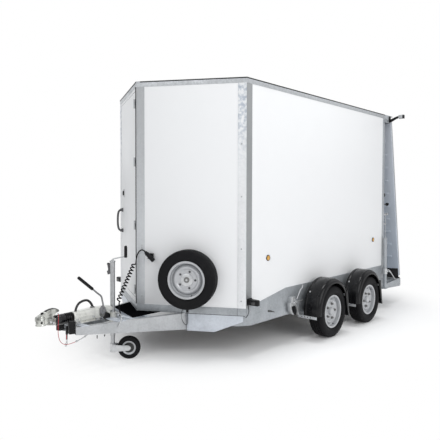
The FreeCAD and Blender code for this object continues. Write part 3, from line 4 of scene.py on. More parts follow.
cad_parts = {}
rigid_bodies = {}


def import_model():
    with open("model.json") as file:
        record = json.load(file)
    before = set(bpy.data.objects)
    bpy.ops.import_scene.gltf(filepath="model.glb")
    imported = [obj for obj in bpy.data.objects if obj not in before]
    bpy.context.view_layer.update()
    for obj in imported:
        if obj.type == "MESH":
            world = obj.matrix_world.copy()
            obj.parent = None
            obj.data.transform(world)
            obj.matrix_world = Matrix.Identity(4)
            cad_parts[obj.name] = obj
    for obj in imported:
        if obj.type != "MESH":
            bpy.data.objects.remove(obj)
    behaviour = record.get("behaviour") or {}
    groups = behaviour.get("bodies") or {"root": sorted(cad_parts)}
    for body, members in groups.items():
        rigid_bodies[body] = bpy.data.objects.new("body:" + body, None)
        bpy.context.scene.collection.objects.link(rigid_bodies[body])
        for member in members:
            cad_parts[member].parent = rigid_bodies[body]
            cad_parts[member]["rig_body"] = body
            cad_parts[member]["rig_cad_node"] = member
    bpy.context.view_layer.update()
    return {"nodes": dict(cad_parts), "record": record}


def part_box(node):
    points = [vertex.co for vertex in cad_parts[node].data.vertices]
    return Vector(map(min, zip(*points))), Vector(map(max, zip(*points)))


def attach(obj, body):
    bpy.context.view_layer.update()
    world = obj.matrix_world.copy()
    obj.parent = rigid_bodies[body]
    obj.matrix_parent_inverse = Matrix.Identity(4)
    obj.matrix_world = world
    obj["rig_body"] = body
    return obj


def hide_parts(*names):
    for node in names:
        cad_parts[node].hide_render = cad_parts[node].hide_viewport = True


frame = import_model()
nodes = frame["nodes"]
bodyOf = {node: body for body, held in frame["record"]["behaviour"]["bodies"].items() for node in held}
print("stage: CAD loaded,", len(nodes), "nodes")

scene = bpy.context.scene
scene.view_settings.view_transform = "Standard"

camera = {
    "place": (4.9569, 4.0668, 1.5883),
    "heading": 221.38,  # degrees from +x, seen from above
    "down": 1.67,
    "roll": 0.126,
    "lens": 42.565,
    "shiftY": -0.0232,
}


def makeCamera():
    bpy.ops.object.camera_add(location=camera["place"])
    cam = bpy.context.object
    cam.name = "photoCamera"
    heading, down = math.radians(camera["heading"]), math.radians(camera["down"])
    ahead = Vector((math.cos(heading) * math.cos(down), math.sin(heading) * math.cos(down), -math.sin(down)))
    turn = ahead.to_track_quat("-Z", "Y").to_matrix()
    cam.rotation_euler = (turn @ Matrix.Rotation(math.radians(camera["roll"]), 3, "Z")).to_euler()
    cam.data.lens = camera["lens"]
    cam.data.sensor_width = 36
    cam.data.shift_y = camera["shiftY"]
    cam.data.clip_end = 100
    scene.camera = cam


makeCamera()


# shader maths: a wire is one output socket, and the operators add Math nodes behind it
class Wire:
    def __init__(self, paint, socket):
        self.paint, self.socket = paint, socket

    def maths(self, operation, *others):
        values = {0: self}
        for place, other in enumerate(others):
            values[place + 1] = other
        return self.paint.node("ShaderNodeMath", {"operation": operation}, values)

    def __add__(self, other):
        return self.maths("ADD", other)

    def __sub__(self, other):
        return self.maths("SUBTRACT", other)

    def __rsub__(self, other):
        return self.paint.node("ShaderNodeMath", {"operation": "SUBTRACT"}, {0: other, 1: self})

    def __mul__(self, other):
        return self.maths("MULTIPLY", other)

    def __gt__(self, other):
        return self.maths("GREATER_THAN", other)

    __radd__ = __add__
    __rmul__ = __mul__

    def soften(self, low, high):  # 0 below low, 1 above high
        return self.paint.node("ShaderNodeMapRange", {"interpolation_type": "SMOOTHSTEP"},
                               {"Value": self, "From Min": low, "From Max": high})


class Paint:
    def __init__(self, name, kind="materials"):  # kind is materials or worlds
        self.owner = getattr(bpy.data, kind).new(name)
        self.owner.use_nodes = True
        self.tree = self.owner.node_tree
        self.tree.nodes.clear()

    def node(self, kind, settings=None, sockets=None, out=0):
        made = self.tree.nodes.new(kind)
        for key, value in (settings or {}).items():
            setattr(made, key, value)
        for key, value in (sockets or {}).items():
            if isinstance(value, Wire):
                self.tree.links.new(value.socket, made.inputs[key])
            else:
                made.inputs[key].default_value = value
        return Wire(self, made.outputs[out])

    def where(self, scale=(1, 1, 1), shift=(0, 0, 0)):
        place = self.node("ShaderNodeTexCoord", out="Object")
        return self.node("ShaderNodeMapping", {}, {"Vector": place, "Scale": scale, "Location": shift})

    def noise(self, scale, detail=3, rough=0.5, stretch=(1, 1, 1)):
        return self.node("ShaderNodeTexNoise", {}, {"Vector": self.where(stretch), "Scale": scale, "Detail": detail,
                                                    "Roughness": rough}, "Fac")

    def axis(self, which):  # one coordinate of the place, in metres
        return self.node("ShaderNodeSeparateXYZ", {}, {"Vector": self.where()}, which)

    def cells(self, scale, stretch=(1, 1, 1)):  # one random number for each crystal
        corner = self.node("ShaderNodeTexVoronoi", {}, {"Vector": self.where(stretch), "Scale": scale}, "Position")
        return self.node("ShaderNodeTexWhiteNoise", {}, {"Vector": corner}, "Value")

    def mix(self, share, first, second):
        first = (*first, 1) if isinstance(first, tuple) else first
        second = (*second, 1) if isinstance(second, tuple) else second
        return self.node("ShaderNodeMix", {"data_type": "RGBA"}, {0: share, 6: first, 7: second}, 2)

    def bump(self, height, strength, distance):  # distance in metres
        return self.node("ShaderNodeBump", {}, {"Strength": strength, "Distance": distance, "Height": height},
                         "Normal")

    def finish(self, **sockets):
        named = {key.replace("_", " "): value for key, value in sockets.items()}
        for key, value in named.items():
            if isinstance(value, tuple) and len(value) == 3:
                named[key] = (*value, 1)
        return self.show(self.node("ShaderNodeBsdfPrincipled", {}, named, "BSDF"))

    def show(self, surface, kind="ShaderNodeOutputMaterial"):
        output = self.tree.nodes.new(kind)
        self.tree.links.new(surface.socket, output.inputs["Surface"])
        return self.owner


# finishes
def galvanised(name, tone=(0.43, 0.455, 0.48), spangle=0.5, wear=0.5):
    paint = Paint(name)
    crystal = paint.cells(70)
    cloud = paint.noise(5, 5, 0.6).soften(0.35, 0.68)
    streak = paint.noise(14, 4, 0.6, (1, 1, 0.12)).soften(0.45, 0.75)
    dark = tuple(0.62 * part for part in tone)
    mottle = crystal * spangle + cloud * (1 - spangle)
    colour = paint.mix(mottle * 0.55, tone, dark)
    colour = paint.mix(streak * (0.35 * wear), colour, (0.62, 0.64, 0.66))
    rough = crystal * 0.14 + cloud * 0.10 + 0.32
    fine = paint.noise(900, 2)
    return paint.finish(Base_Color=colour, Metallic=0.55, Roughness=rough,
                        Normal=paint.bump(crystal * 0.6 + fine * 0.4, 0.10, 0.0005))


def postSteel():  # painted light: the posts' flanges on the nose are painted pale with painted reflections, those on the sides stay grey as painted shade
    paint = Paint("spangledPostPaintedLight")
    crystal = paint.cells(60)
    cloud = paint.noise(5, 5, 0.6).soften(0.35, 0.68)
    height = paint.axis("Z")
    # painted shade: flanges facing the sides get a darker grey
    aside = paint.axis("Y").maths("ABSOLUTE") > 0.9655
    tip = paint.axis("X") > 1.35
    # painted reflections: blue-grey blotches high on the corner posts' nose flanges, over a near-white painted
    # highlight
    paintedReflections = paint.noise(22, 4, 0.6).soften(0.40, 0.62) * height.soften(1.75, 2.45)
    corner = paint.mix(paintedReflections * 0.7, (0.86, 0.87, 0.88), (0.34, 0.40, 0.49))
    # painted shade: the nose post's flange darker towards the top
    nose = paint.mix(height.soften(0.6, 2.5), (0.66, 0.68, 0.70), (0.42, 0.43, 0.44))
    colour = paint.mix(tip, corner, nose)
    colour = paint.mix(aside, colour, (0.34, 0.35, 0.355))
    colour = paint.mix((crystal * 0.6 + cloud * 0.4) * 0.14, colour, (0.30, 0.32, 0.35))
    return paint.finish(Base_Color=colour, Metallic=0.35, Roughness=crystal * 0.14 + 0.36,
                        Normal=paint.bump(crystal, 0.08, 0.0004))


def whitePanel():
    paint = Paint("whitePanel")
    wave = paint.noise(1.3, 2)
    dust = paint.noise(3, 4, 0.6).soften(0.4, 0.9)
    colour = paint.mix(dust * 0.10, (0.900, 0.905, 0.910), (0.80, 0.81, 0.82))
    rough = dust * 0.10 + 0.40
    return paint.finish(Base_Color=colour, Roughness=rough, Specular_IOR_Level=0.2,
                        Normal=paint.bump(wave, 0.12, 0.003))


def rampSheet():  # smooth blue-grey lining of the ramp, with painted shade darker towards its foot
    paint = Paint("rampSheet")
    height = paint.axis("Z").soften(0.4, 2.6)
    cloud = paint.noise(3, 4, 0.6).soften(0.35, 0.7)
    grain = paint.noise(40, 3, 0.6, (1, 1, 0.1))
    colour = paint.mix(cloud * 0.25, (0.56, 0.62, 0.70), (0.47, 0.52, 0.59))
    # painted shade: the lining paler towards the top and darker towards the ramp's foot
    colour = paint.mix(height * 0.6, colour, (0.64, 0.66, 0.70))
    return paint.finish(Base_Color=colour, Metallic=0.1, Roughness=grain * 0.12 + 0.40,
                        Normal=paint.bump(grain, 0.08, 0.0005))


def tyreRubber():
    paint = Paint("tyreRubber")
    dust = paint.noise(9, 5, 0.7).soften(0.48, 0.8)
    grain = paint.noise(700, 3)
    colour = paint.mix(dust * 0.3, (0.010, 0.010, 0.011), (0.035, 0.034, 0.032))
    return paint.finish(Base_Color=colour, Roughness=dust * 0.15 + 0.55, Specular_IOR_Level=0.1,
                        Normal=paint.bump(grain, 0.15, 0.0006))


def blackPlastic(name="guardPlastic", tone=(0.007, 0.007, 0.008), rough=0.22, grain=0.06, shine=0.25):
    paint = Paint(name)
    scuff = paint.noise(16, 6, 0.7).soften(0.55, 0.8)
    colour = paint.mix(scuff * 0.3, tone, tuple(2.4 * part for part in tone))
    return paint.finish(Base_Color=colour, Roughness=scuff * 0.12 + rough, Specular_IOR_Level=shine,
                        Normal=paint.bump(paint.noise(520, 2), grain, 0.0005))


def silverPaint():
    paint = Paint("wheelSilver")
    flake = paint.noise(1500, 1)
    dust = paint.noise(11, 5, 0.7).soften(0.45, 0.8)
    colour = paint.mix(dust * 0.4, (0.50, 0.51, 0.525), (0.34, 0.34, 0.345))
    return paint.finish(Base_Color=colour, Metallic=0.35, Roughness=dust * 0.15 + 0.30,
                        Normal=paint.bump(flake, 0.05, 0.0003))


def castMetal(name, tone, rough, metal, patch=0.4, dark=0.72):
    paint = Paint(name)
    pits = paint.noise(260, 5, 0.7)
    tint = paint.noise(12, 4, 0.6).soften(0.4, 0.7)
    colour = paint.mix(tint * patch, tone, tuple(dark * part for part in tone))
    return paint.finish(Base_Color=colour, Metallic=metal, Roughness=tint * 0.12 + rough,
                        Normal=paint.bump(pits, 0.30, 0.0008))


def softRubber(name, tone, rough, shine=0.5):
    paint = Paint(name)
    bloom = paint.noise(30, 4, 0.6).soften(0.45, 0.75)
    colour = paint.mix(bloom * 0.4, tone, tuple(2.2 * part for part in tone))
    return paint.finish(Base_Color=colour, Roughness=bloom * 0.12 + rough, Specular_IOR_Level=shine,
                        Normal=paint.bump(paint.noise(900, 2), 0.10, 0.0004))


def boardFace():
    paint = Paint("floorBoard")
    grain = paint.noise(6, 6, 0.65, (1, 14, 14))
    colour = paint.mix(grain.soften(0.3, 0.7), (0.10, 0.065, 0.042), (0.045, 0.030, 0.022))
    return paint.finish(Base_Color=colour, Roughness=0.5, Normal=paint.bump(grain, 0.2, 0.0006))


def lens(name, tone, pitch=0.006):
    paint = Paint(name)
    place = paint.where((1 / pitch,) * 3)
    prisms = paint.node("ShaderNodeTexVoronoi", {}, {"Vector": place, "Scale": 1.0, "Randomness": 0.0}, "Distance")
    colour = paint.mix(prisms.soften(0.2, 0.75), tone, tuple(0.45 * part for part in tone))
    return paint.finish(Base_Color=colour, Roughness=0.16, Coat_Weight=0.8, Coat_Roughness=0.05,
                        Normal=paint.bump(prisms, 0.35, 0.0008))


def brightZinc(name="brightZinc", tone=(0.64, 0.65, 0.66), rough=0.30):
    paint = Paint(name)
    haze = paint.noise(22, 5, 0.65).soften(0.4, 0.75)
    brushed = paint.noise(160, 3, 0.6, (1, 1, 0.06))
    colour = paint.mix(haze * 0.5, tone, tuple(0.66 * part for part in tone))
    return paint.finish(Base_Color=colour, Metallic=0.75, Roughness=haze * 0.18 + rough,
                        Normal=paint.bump(brushed, 0.08, 0.0004))


finish = {
    "galvanised": galvanised("galvanisedSteel"),
    "post": postSteel(),
    "rail": galvanised("railSteel", (0.60, 0.62, 0.64), 0.72, 0.3),
    "panel": whitePanel(),
    "tyre": tyreRubber(),
    "guard": blackPlastic(),
    "grip": blackPlastic("gripPlastic", (0.007, 0.007, 0.008), 0.40, 0.2, 0.22),
    "silver": silverPaint(),
    "housing": castMetal("castHousing", (0.80, 0.80, 0.76), 0.36, 0.45, 0.6, 0.62),
    "cast": castMetal("pressedCast", (0.66, 0.67, 0.63), 0.26, 0.85, 0.95, 0.16),
    "greyCast": castMetal("greyCast", (0.22, 0.22, 0.215), 0.5, 0.5),
    "greyPaint": castMetal("leverGrey", (0.27, 0.27, 0.28), 0.38, 0.5),
    "tubeGrey": brightZinc("tubeZinc", (0.50, 0.51, 0.52), 0.34),
    "trim": blackPlastic("roofTrim", (0.022, 0.024, 0.026), 0.45, 0.1, 0.3),
    "rampFace": rampSheet(),
    "beam": galvanised("beamSteel", (0.56, 0.575, 0.59), 0.4, 0.5),
    # painted reflection: the braces get a paler, bluer galvanised tone than the other steel
    "brace": galvanised("braceSteelPaintedSheen", (0.66, 0.70, 0.76), 0.3, 0.3),
    "handle": castMetal("handleGrey", (0.11, 0.11, 0.115), 0.45, 0.3),
    "smoked": lens("smokedLens", (0.025, 0.026, 0.028)),
    "darkCast": castMetal("darkCast", (0.060, 0.060, 0.060), 0.5, 0.35),
    "blackPaint": castMetal("blackPaint", (0.014, 0.014, 0.015), 0.45, 0.0),
    "bellows": softRubber("bellowsRubber", (0.003, 0.003, 0.004), 0.2, 0.6),
    "cord": softRubber("cordSheath", (0.005, 0.005, 0.006), 0.4, 0.15),
    "redCable": softRubber("redSheath", (0.42, 0.018, 0.028), 0.35),
    "zinc": brightZinc(),
    "step": blackPlastic("stepSheet", (0.004, 0.004, 0.005), 0.6, 0.1, 0.0),
    "slat": brightZinc("shutterSlat", (0.72, 0.74, 0.75), 0.34),
    "board": boardFace(),
    "amber": lens("amberLens", (0.86, 0.42, 0.03)),
    "clear": lens("clearLens", (0.78, 0.80, 0.82)),
    "red": lens("redLens", (0.55, 0.015, 0.012)),
}
print("stage: finishes,", len(finish))


# modelling helpers
def setMode(mode):
    bpy.ops.object.mode_set(mode=mode)


def clearSelection():
    if bpy.context.object and bpy.context.object.mode != "OBJECT":
        setMode("OBJECT")
    bpy.ops.object.select_all(action="DESELECT")


def pick(piece):
    clearSelection()
    piece.select_set(True)
    bpy.context.view_layer.objects.active = piece


def applyModifier(piece, kind, **settings):
    pick(piece)
    modifier = piece.modifiers.new(kind.title(), kind)
    for key, value in settings.items():
        setattr(modifier, key, value)
    bpy.ops.object.modifier_apply(modifier=modifier.name)


def bevelled(piece, edge, corner, segments=2):  # softens corners sharper than so many degrees, edge in millimetres
    if edge:
        applyModifier(piece, "BEVEL", width=edge / 1000, segments=segments, limit_method="ANGLE",
                      angle_limit=math.radians(corner))
    return piece


def settle(piece, name, paint, *standsFor, body="trailer", slotName=None, angle=32):  # pieces in a list are joined
    piece = joined(piece) if isinstance(piece, list) else piece
    pick(piece)
    bpy.ops.object.transform_apply(location=True, rotation=True, scale=True)
    bpy.ops.object.shade_smooth_by_angle(angle=math.radians(angle))
    piece.name = name
    piece.data.name = name
    piece.data.materials.clear()
    piece.data.materials.append(finish[paint])
    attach(piece, body)
    if standsFor:
        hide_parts(*standsFor)
    return piece


def dressNode(node, paint, edge):
    source = nodes[node]
    piece = source.copy()
    piece.data = source.data.copy()
    piece.parent = None
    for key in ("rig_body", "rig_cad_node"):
        if key in piece:
            del piece[key]
    scene.collection.objects.link(piece)
    pick(piece)
    setMode("EDIT")
    bpy.ops.mesh.select_all(action="SELECT")
    bpy.ops.mesh.remove_doubles(threshold=0.00005)  # the CAD mesh is loose triangles
    bpy.ops.mesh.tris_convert_to_quads(face_threshold=math.radians(1), shape_threshold=math.radians(60))
    setMode("OBJECT")
    bevelled(piece, edge, 35)
    slotName = [part["material_slot"] for part in frame["record"]["subparts"] if part["node"] == node][0]
    settle(piece, node + "Dressed", paint, node, body=bodyOf[node], slotName=slotName)


# floor, lights and world
studio = {
    "world": 0.52,
    "skyTone": (0.96, 0.98, 1.0, 1),
    "floorSize": 60,
    "floorTone": (0.86, 0.86, 0.87, 1),  # as the lamps' bounced light meets it
    "seenTone": (0.98, 0.98, 0.98, 1),  # as the camera sees it
    "glow": 0.03,
    "fadeScale": (1 / 2.6, 1 / 1.9, 1),  # the floor fades to white outside this ellipse
    "fadeShift": (0.27, 0, 0),
    "fade": (0.75, 1.25),
    "lamps": [  # place, aim, size, watts
        ((2.0, 9.0, 5.5), (-0.3, 0.5, 1.2), 7.0, 330),
        ((9.0, 1.5, 5.0), (0.8, 0.0, 1.2), 6.0, 115),
        ((-7.0, 5.0, 6.0), (-1.0, 0.8, 1.0), 6.0, 70),
        ((-2.0, -9.0, 5.5), (0.0, -0.8, 1.2), 7.0, 120),
        ((0.2, 1.0, 9.0), (0.2, 1.0, 0.0), 2.4, 200),
    ],
}


def seenRays(paint):  # camera, glossy and transmission rays see the pale background
    rays = [paint.node("ShaderNodeLightPath", out=name) for name in
            ("Is Camera Ray", "Is Glossy Ray", "Is Transmission Ray")]
    return rays[0].maths("MAXIMUM", rays[1].maths("MAXIMUM", rays[2]))


def makeSky():
    sky = Paint("studioWorld", "worlds")
    scene.world = sky.owner
    light = sky.node("ShaderNodeBackground", {}, {"Color": studio["skyTone"], "Strength": studio["world"]})
    seen = sky.node("ShaderNodeBackground", {}, {"Color": (1, 1, 1, 1), "Strength": 1.0})
    direct = sky.node("ShaderNodeLightPath", out="Is Camera Ray")
    sky.show(sky.node("ShaderNodeMixShader", {}, {0: direct, 1: light, 2: seen}), "ShaderNodeOutputWorld")


def makeFloor():
    bpy.ops.mesh.primitive_plane_add(size=studio["floorSize"], location=(0, 0, 0))
    floor = bpy.context.object
    floor.name = "studioFloor"
    paint = Paint("paleFloor")
    lit = paint.node("ShaderNodeBsdfDiffuse", {}, {"Color": studio["floorTone"]})
    seenLit = paint.node("ShaderNodeBsdfDiffuse", {}, {"Color": studio["seenTone"]})
    glow = paint.node("ShaderNodeEmission", {}, {"Color": (1, 1, 1, 1), "Strength": studio["glow"]})
    white = paint.node("ShaderNodeEmission", {}, {"Color": (1, 1, 1, 1), "Strength": 1.0})
    lifted = paint.node("ShaderNodeAddShader", {}, {0: seenLit, 1: glow})
    away = paint.node("ShaderNodeVectorMath", {"operation": "LENGTH"},
                      {0: paint.where(studio["fadeScale"], studio["fadeShift"])}, "Value")
    faded = paint.node("ShaderNodeMixShader", {}, {0: away.soften(*studio["fade"]), 1: lifted, 2: white})
    floor.data.materials.append(paint.show(
        paint.node("ShaderNodeMixShader", {}, {0: seenRays(paint), 1: lit, 2: faded})))


def makeLights():
    for place, aim, size, watts in studio["lamps"]:
        bpy.ops.object.light_add(type="AREA", location=place)
        lamp = bpy.context.object
        lamp.rotation_euler = (Vector(aim) - Vector(place)).to_track_quat("-Z", "Y").to_euler()
        lamp.data.size, lamp.data.energy = size, watts


makeSky()
makeFloor()
makeLights()
print("stage: studio")


def startOutline(points, closed=True):  # an outline drawn from one vertex and left selected in edit mode
    clearSelection()
    bpy.ops.mesh.primitive_plane_add(size=0.01, location=(0, 0, 0))
    piece = bpy.context.object
    setMode("EDIT")
    bpy.ops.mesh.select_mode(type="VERT")
    bpy.ops.mesh.select_all(action="SELECT")
    bpy.ops.mesh.merge(type="CENTER")
    bpy.ops.transform.translate(value=points[0])
    for before, after in zip(points, points[1:]):
        step = Vector(after) - Vector(before)
        bpy.ops.mesh.extrude_vertices_move(TRANSFORM_OT_translate={"value": step})
    if closed:
        bpy.ops.mesh.select_all(action="DESELECT")
        setMode("OBJECT")
        for end in (0, -1):
            piece.data.vertices[end].select = True
        setMode("EDIT")
        bpy.ops.mesh.edge_face_add()
    bpy.ops.mesh.select_all(action="SELECT")
    return piece


weldGap = 0.00002  # metres


def closeShell():  # turns the faces of a closed shell outwards and leaves edit mode
    bpy.ops.mesh.select_all(action="SELECT")
    bpy.ops.mesh.normals_make_consistent(inside=False)
    setMode("OBJECT")


def turned(outline, steps, closed=True):  # (along, radius) in millimetres, spun round the y axis
    piece = startOutline([(0, along / 1000, radius / 1000) for along, radius in outline], closed)
    bpy.ops.mesh.spin(steps=steps, angle=math.tau, center=(0, 0, 0), axis=(0, 1, 0))
    bpy.ops.mesh.select_all(action="SELECT")
    bpy.ops.mesh.remove_doubles(threshold=weldGap)
    bpy.ops.mesh.delete_loose()
    closeShell()
    return piece


def selectWhere(piece, kind, test):  # the test gets each face or edge of the piece
    pick(piece)
    setMode("EDIT")
    bpy.ops.mesh.select_all(action="DESELECT")
    bpy.ops.mesh.select_mode(type=kind)
    setMode("OBJECT")
    for part in piece.data.polygons if kind == "FACE" else piece.data.edges:
        part.select = bool(test(part))
    setMode("EDIT")


def selectFaces(piece, test):  # test gets each face's middle and normal
    selectWhere(piece, "FACE", lambda face: test(face.center, face.normal))


def selectEdges(piece, test):  # test gets each edge's two ends
    spots = [vertex.co.copy() for vertex in piece.data.vertices]
    selectWhere(piece, "EDGE", lambda edge: test(*[spots[end] for end in edge.vertices]))


def copyOf(piece, matrix=None):
    made = piece.copy()
    made.data = piece.data.copy()
    scene.collection.objects.link(made)
    if matrix is not None:
        made.data.transform(matrix)
        if matrix.determinant() < 0:
            made.data.flip_normals()
    return made


def joined(pieces):
    clearSelection()
    for piece in pieces:
        piece.select_set(True)
    bpy.context.view_layer.objects.active = pieces[0]
    bpy.ops.object.join()
    return bpy.context.object


frameShift = 1054  # from the middle of the frame forwards to the body's front corners, millimetres
noseTip = 552
noseWay = (0.86846, 0.49577)  # outwards from the left nose wall, seen from above
noseFacing = {side: (noseWay[0], side * noseWay[1], 0) for side in (1, -1)}


def mm(x, y, z):  # the drawing's millimetres, x counted from the body's front corners
    return Vector((x + frameShift, y, z)) / 1000


def nosePoint(s, out, z, side=1):  # s along a nose wall from its tip, out from its face, as drawing millimetres
    ahead, aside = noseWay
    return noseTip - aside * s + ahead * out, side * (ahead * s + aside * out), z


def onNose(s, out, z, side=1):
    return mm(*nosePoint(s, out, z, side))


def stood(piece, origin, ahead, up=(0, 0, 1)):  # the piece's own +y turns to ahead, its +z towards up
    ahead = Vector(ahead).normalized()
    if abs(ahead.dot(Vector(up))) > 0.95:
        up = (1, 0, 0)
    across = ahead.cross(Vector(up)).normalized()
    turn = Matrix((across, ahead, across.cross(ahead))).transposed().to_4x4()
    piece.data.transform(Matrix.Translation(origin) @ turn)
    return piece


def lathe(outline, origin, ahead, steps=32):  # (along, radius) in millimetres, turned round the line ahead
    closed = outline[0][1] > 0 and outline[-1][1] > 0
    return stood(turned(outline, steps, closed), origin, ahead)


def block(low, high, edge=1.0):  # a softened box between two corners, edge in millimetres
    clearSelection()
    low, high = Vector(low), Vector(high)
    bpy.ops.mesh.primitive_cube_add(size=1, location=(low + high) / 2)
    piece = bpy.context.object
    piece.scale = [abs(size) for size in high - low]
    bpy.ops.object.transform_apply(location=True, rotation=True, scale=True)
    return bevelled(piece, edge, 40)


def plate(points, push, edge=0.8):  # a flat outline pushed to a solid, its edges softened
    piece = startOutline(points)
    bpy.ops.mesh.edge_face_add()
    bpy.ops.mesh.select_all(action="SELECT")
    bpy.ops.mesh.extrude_region_move(TRANSFORM_OT_translate={"value": push})
    closeShell()
    return bevelled(piece, edge, 28)


def roundedSection(corner, steps):  # a unit square whose corners are rounded, corner from 0 to 1
    points = []
    for side, rise, start in ((1, 1, 0), (-1, 1, 90), (-1, -1, 180), (1, -1, 270)):
        for k in range(steps + 1):
            angle = math.radians(start + 90 * k / steps)
            points.append(((1 - corner) * side + corner * math.cos(angle),
                           (1 - corner) * rise + corner * math.sin(angle)))
    return points


def lofted(stations, corner, steps):  # (x, half width, low, high) along the centre line
    x, half, low, high = stations[0]
    middles = [mm(at, 0, (bottom + top) / 2) for at, _, bottom, top in stations]
    piece = startOutline([mm(x, side * half, (low + high) / 2 + rise * (high - low) / 2)
                          for side, rise in roundedSection(corner, steps)])
    bpy.ops.mesh.edge_face_add()
    for k in range(1, len(stations)):
        before, here = stations[k - 1], stations[k]
        bpy.ops.mesh.extrude_region_move(TRANSFORM_OT_translate={"value": middles[k] - middles[k - 1]})
        growth = (1, here[1] / before[1], (here[3] - here[2]) / (before[3] - before[2]))
        bpy.ops.transform.resize(value=growth, center_override=middles[k])
    closeShell()
    return piece


def smoothLine(name, points, radius, rings, detail, cyclic=False):  # one NURBS spline with a round section
    curve = bpy.data.curves.new(name, "CURVE")
    curve.dimensions = "3D"
    spline = curve.splines.new("NURBS")
    spline.points.add(len(points) - 1)
    for point, place in zip(spline.points, points):
        point.co = (*place, 1)
    spline.order_u = 3
    spline.use_endpoint_u = not cyclic
    spline.use_cyclic_u = cyclic
    spline.resolution_u = detail
    curve.bevel_depth = radius
    curve.bevel_resolution = rings
    curve.use_fill_caps = True
    line = bpy.data.objects.new(name, curve)
    scene.collection.objects.link(line)
    return line


def bentRod(points, radius, cyclic=False, detail=6):  # a bent metal rod, points and radius in millimetres
    rod = smoothLine("rod", [mm(*point) for point in points], radius / 1000, 3, detail, cyclic)
    pick(rod)
    bpy.ops.object.convert(target="MESH")
    return bpy.context.object


def ringRod(middle, across, up, radius):  # a closed wire ring through eight points, millimetres
    swings = [math.tau * k / 8 for k in range(8)]
    middle, across, up = Vector(middle), Vector(across), Vector(up)
    return bentRod([middle + across * math.cos(swing) + up * math.sin(swing) for swing in swings], radius, True)


def cutBy(piece, tool):
    applyModifier(piece, "BOOLEAN", operation="DIFFERENCE", object=tool, solver="EXACT")
    bpy.data.objects.remove(tool)
    return piece


def cylinder(sides, radius, start, end, at=(0, 0)):  # a cylinder along y from start to end, at (x, z), millimetres
    bpy.ops.mesh.primitive_cylinder_add(vertices=sides, radius=radius / 1000, depth=(end - start) / 1000,
                                        rotation=(math.pi / 2, 0, 0),
                                        location=(at[0] / 1000, (start + end) / 2000, at[1] / 1000))
    bpy.ops.object.transform_apply(location=True, rotation=True, scale=True)
    return bpy.context.object


def insetFaces(piece, test, thickness, depth):  # metres, with the faces that pass the test
    selectFaces(piece, test)
    bpy.ops.mesh.inset(thickness=thickness, depth=depth)
    setMode("OBJECT")


def hexBolt(across, height, washer):  # head and washer looking along +y, millimetres
    radius, thick = across / math.sqrt(3), 1.5
    head = cylinder(6, radius, thick, thick + height)
    insetFaces(head, lambda middle, normal: normal.y > 0.9, radius * 0.00014, radius * 0.00010)
    ring = turned([(0, washer), (1.2, washer), (thick, washer * 0.95), (thick, 0), (0, 0)], 20, False)
    return joined([head, ring])


def rivetHead(radius, height):  # domed head looking along +y, millimetres
    return turned([(0, radius), (0.35 * height, 0.97 * radius), (0.75 * height, 0.68 * radius),
                   (height, 0.25 * radius), (height, 0), (0, 0)], 16, False)


def spread(master, places):  # copies of one fastener at (place, ahead), joined, the master removed
    copies = [stood(copyOf(master), place, ahead) for place, ahead in places]
    bpy.data.objects.remove(master)
    return joined(copies)


# cords: the electric lead with its curly stretch, and the breakaway cable
leadShape = {
    "radius": 0.0062,
    "lower": [(1.852, 0.052, 0.419), (1.854, 0.056, 0.455), (1.872, 0.060, 0.496)],
    "coilLow": (1.866, 0.040, 0.562),
    "coilHigh": (1.661, 0.022, 0.890),
    "turns": (-49.1, 4189.1),  # first and last angle, degrees
    "steps": 144,
    "turnRadius": 0.0175,
    "bend": 0.0160,
    "upper": [(1.634, 0.028, 0.946), (1.620, 0.030, 0.992), (1.602, 0.044, 1.030), (1.6029, 0.0961, 1.043)],
    "plugStart": (1.5901, 0.1187, 1.0170),
    "plugEnd": (1.5484, 0.1917, 0.9330),
    "length": 1.72,
}


def curlyRun():  # the coil, with a quarter bend from its axis into the first turn and out of the last
    low, high = Vector(leadShape["coilLow"]), Vector(leadShape["coilHigh"])
    axis = (high - low).normalized()
    first = axis.cross(Vector((0, 1, 0))).normalized()
    second = axis.cross(first)
    size, bend = leadShape["turnRadius"], leadShape["bend"]
    begin, end = [math.radians(angle) for angle in leadShape["turns"]]

    def rim(share):
        angle = begin + (end - begin) * share
        return low.lerp(high, share) + (first * math.cos(angle) + second * math.sin(angle)) * size

    def way(angle):
        return second * math.cos(angle) - first * math.sin(angle)

    turns = [rim(k / leadShape["steps"]) for k in range(leadShape["steps"] + 1)]
    lead, tail = [], []
    for k in range(1, 5):  # the quarter bend in four steps
        swing = math.radians(22.5 * k)
        ahead, along = bend * math.sin(swing), bend * (1 - math.cos(swing))
        lead.append(turns[0] - way(begin) * ahead - axis * along)
        tail.append(turns[-1] + way(end) * ahead + axis * along)
    return lead[::-1] + turns + tail


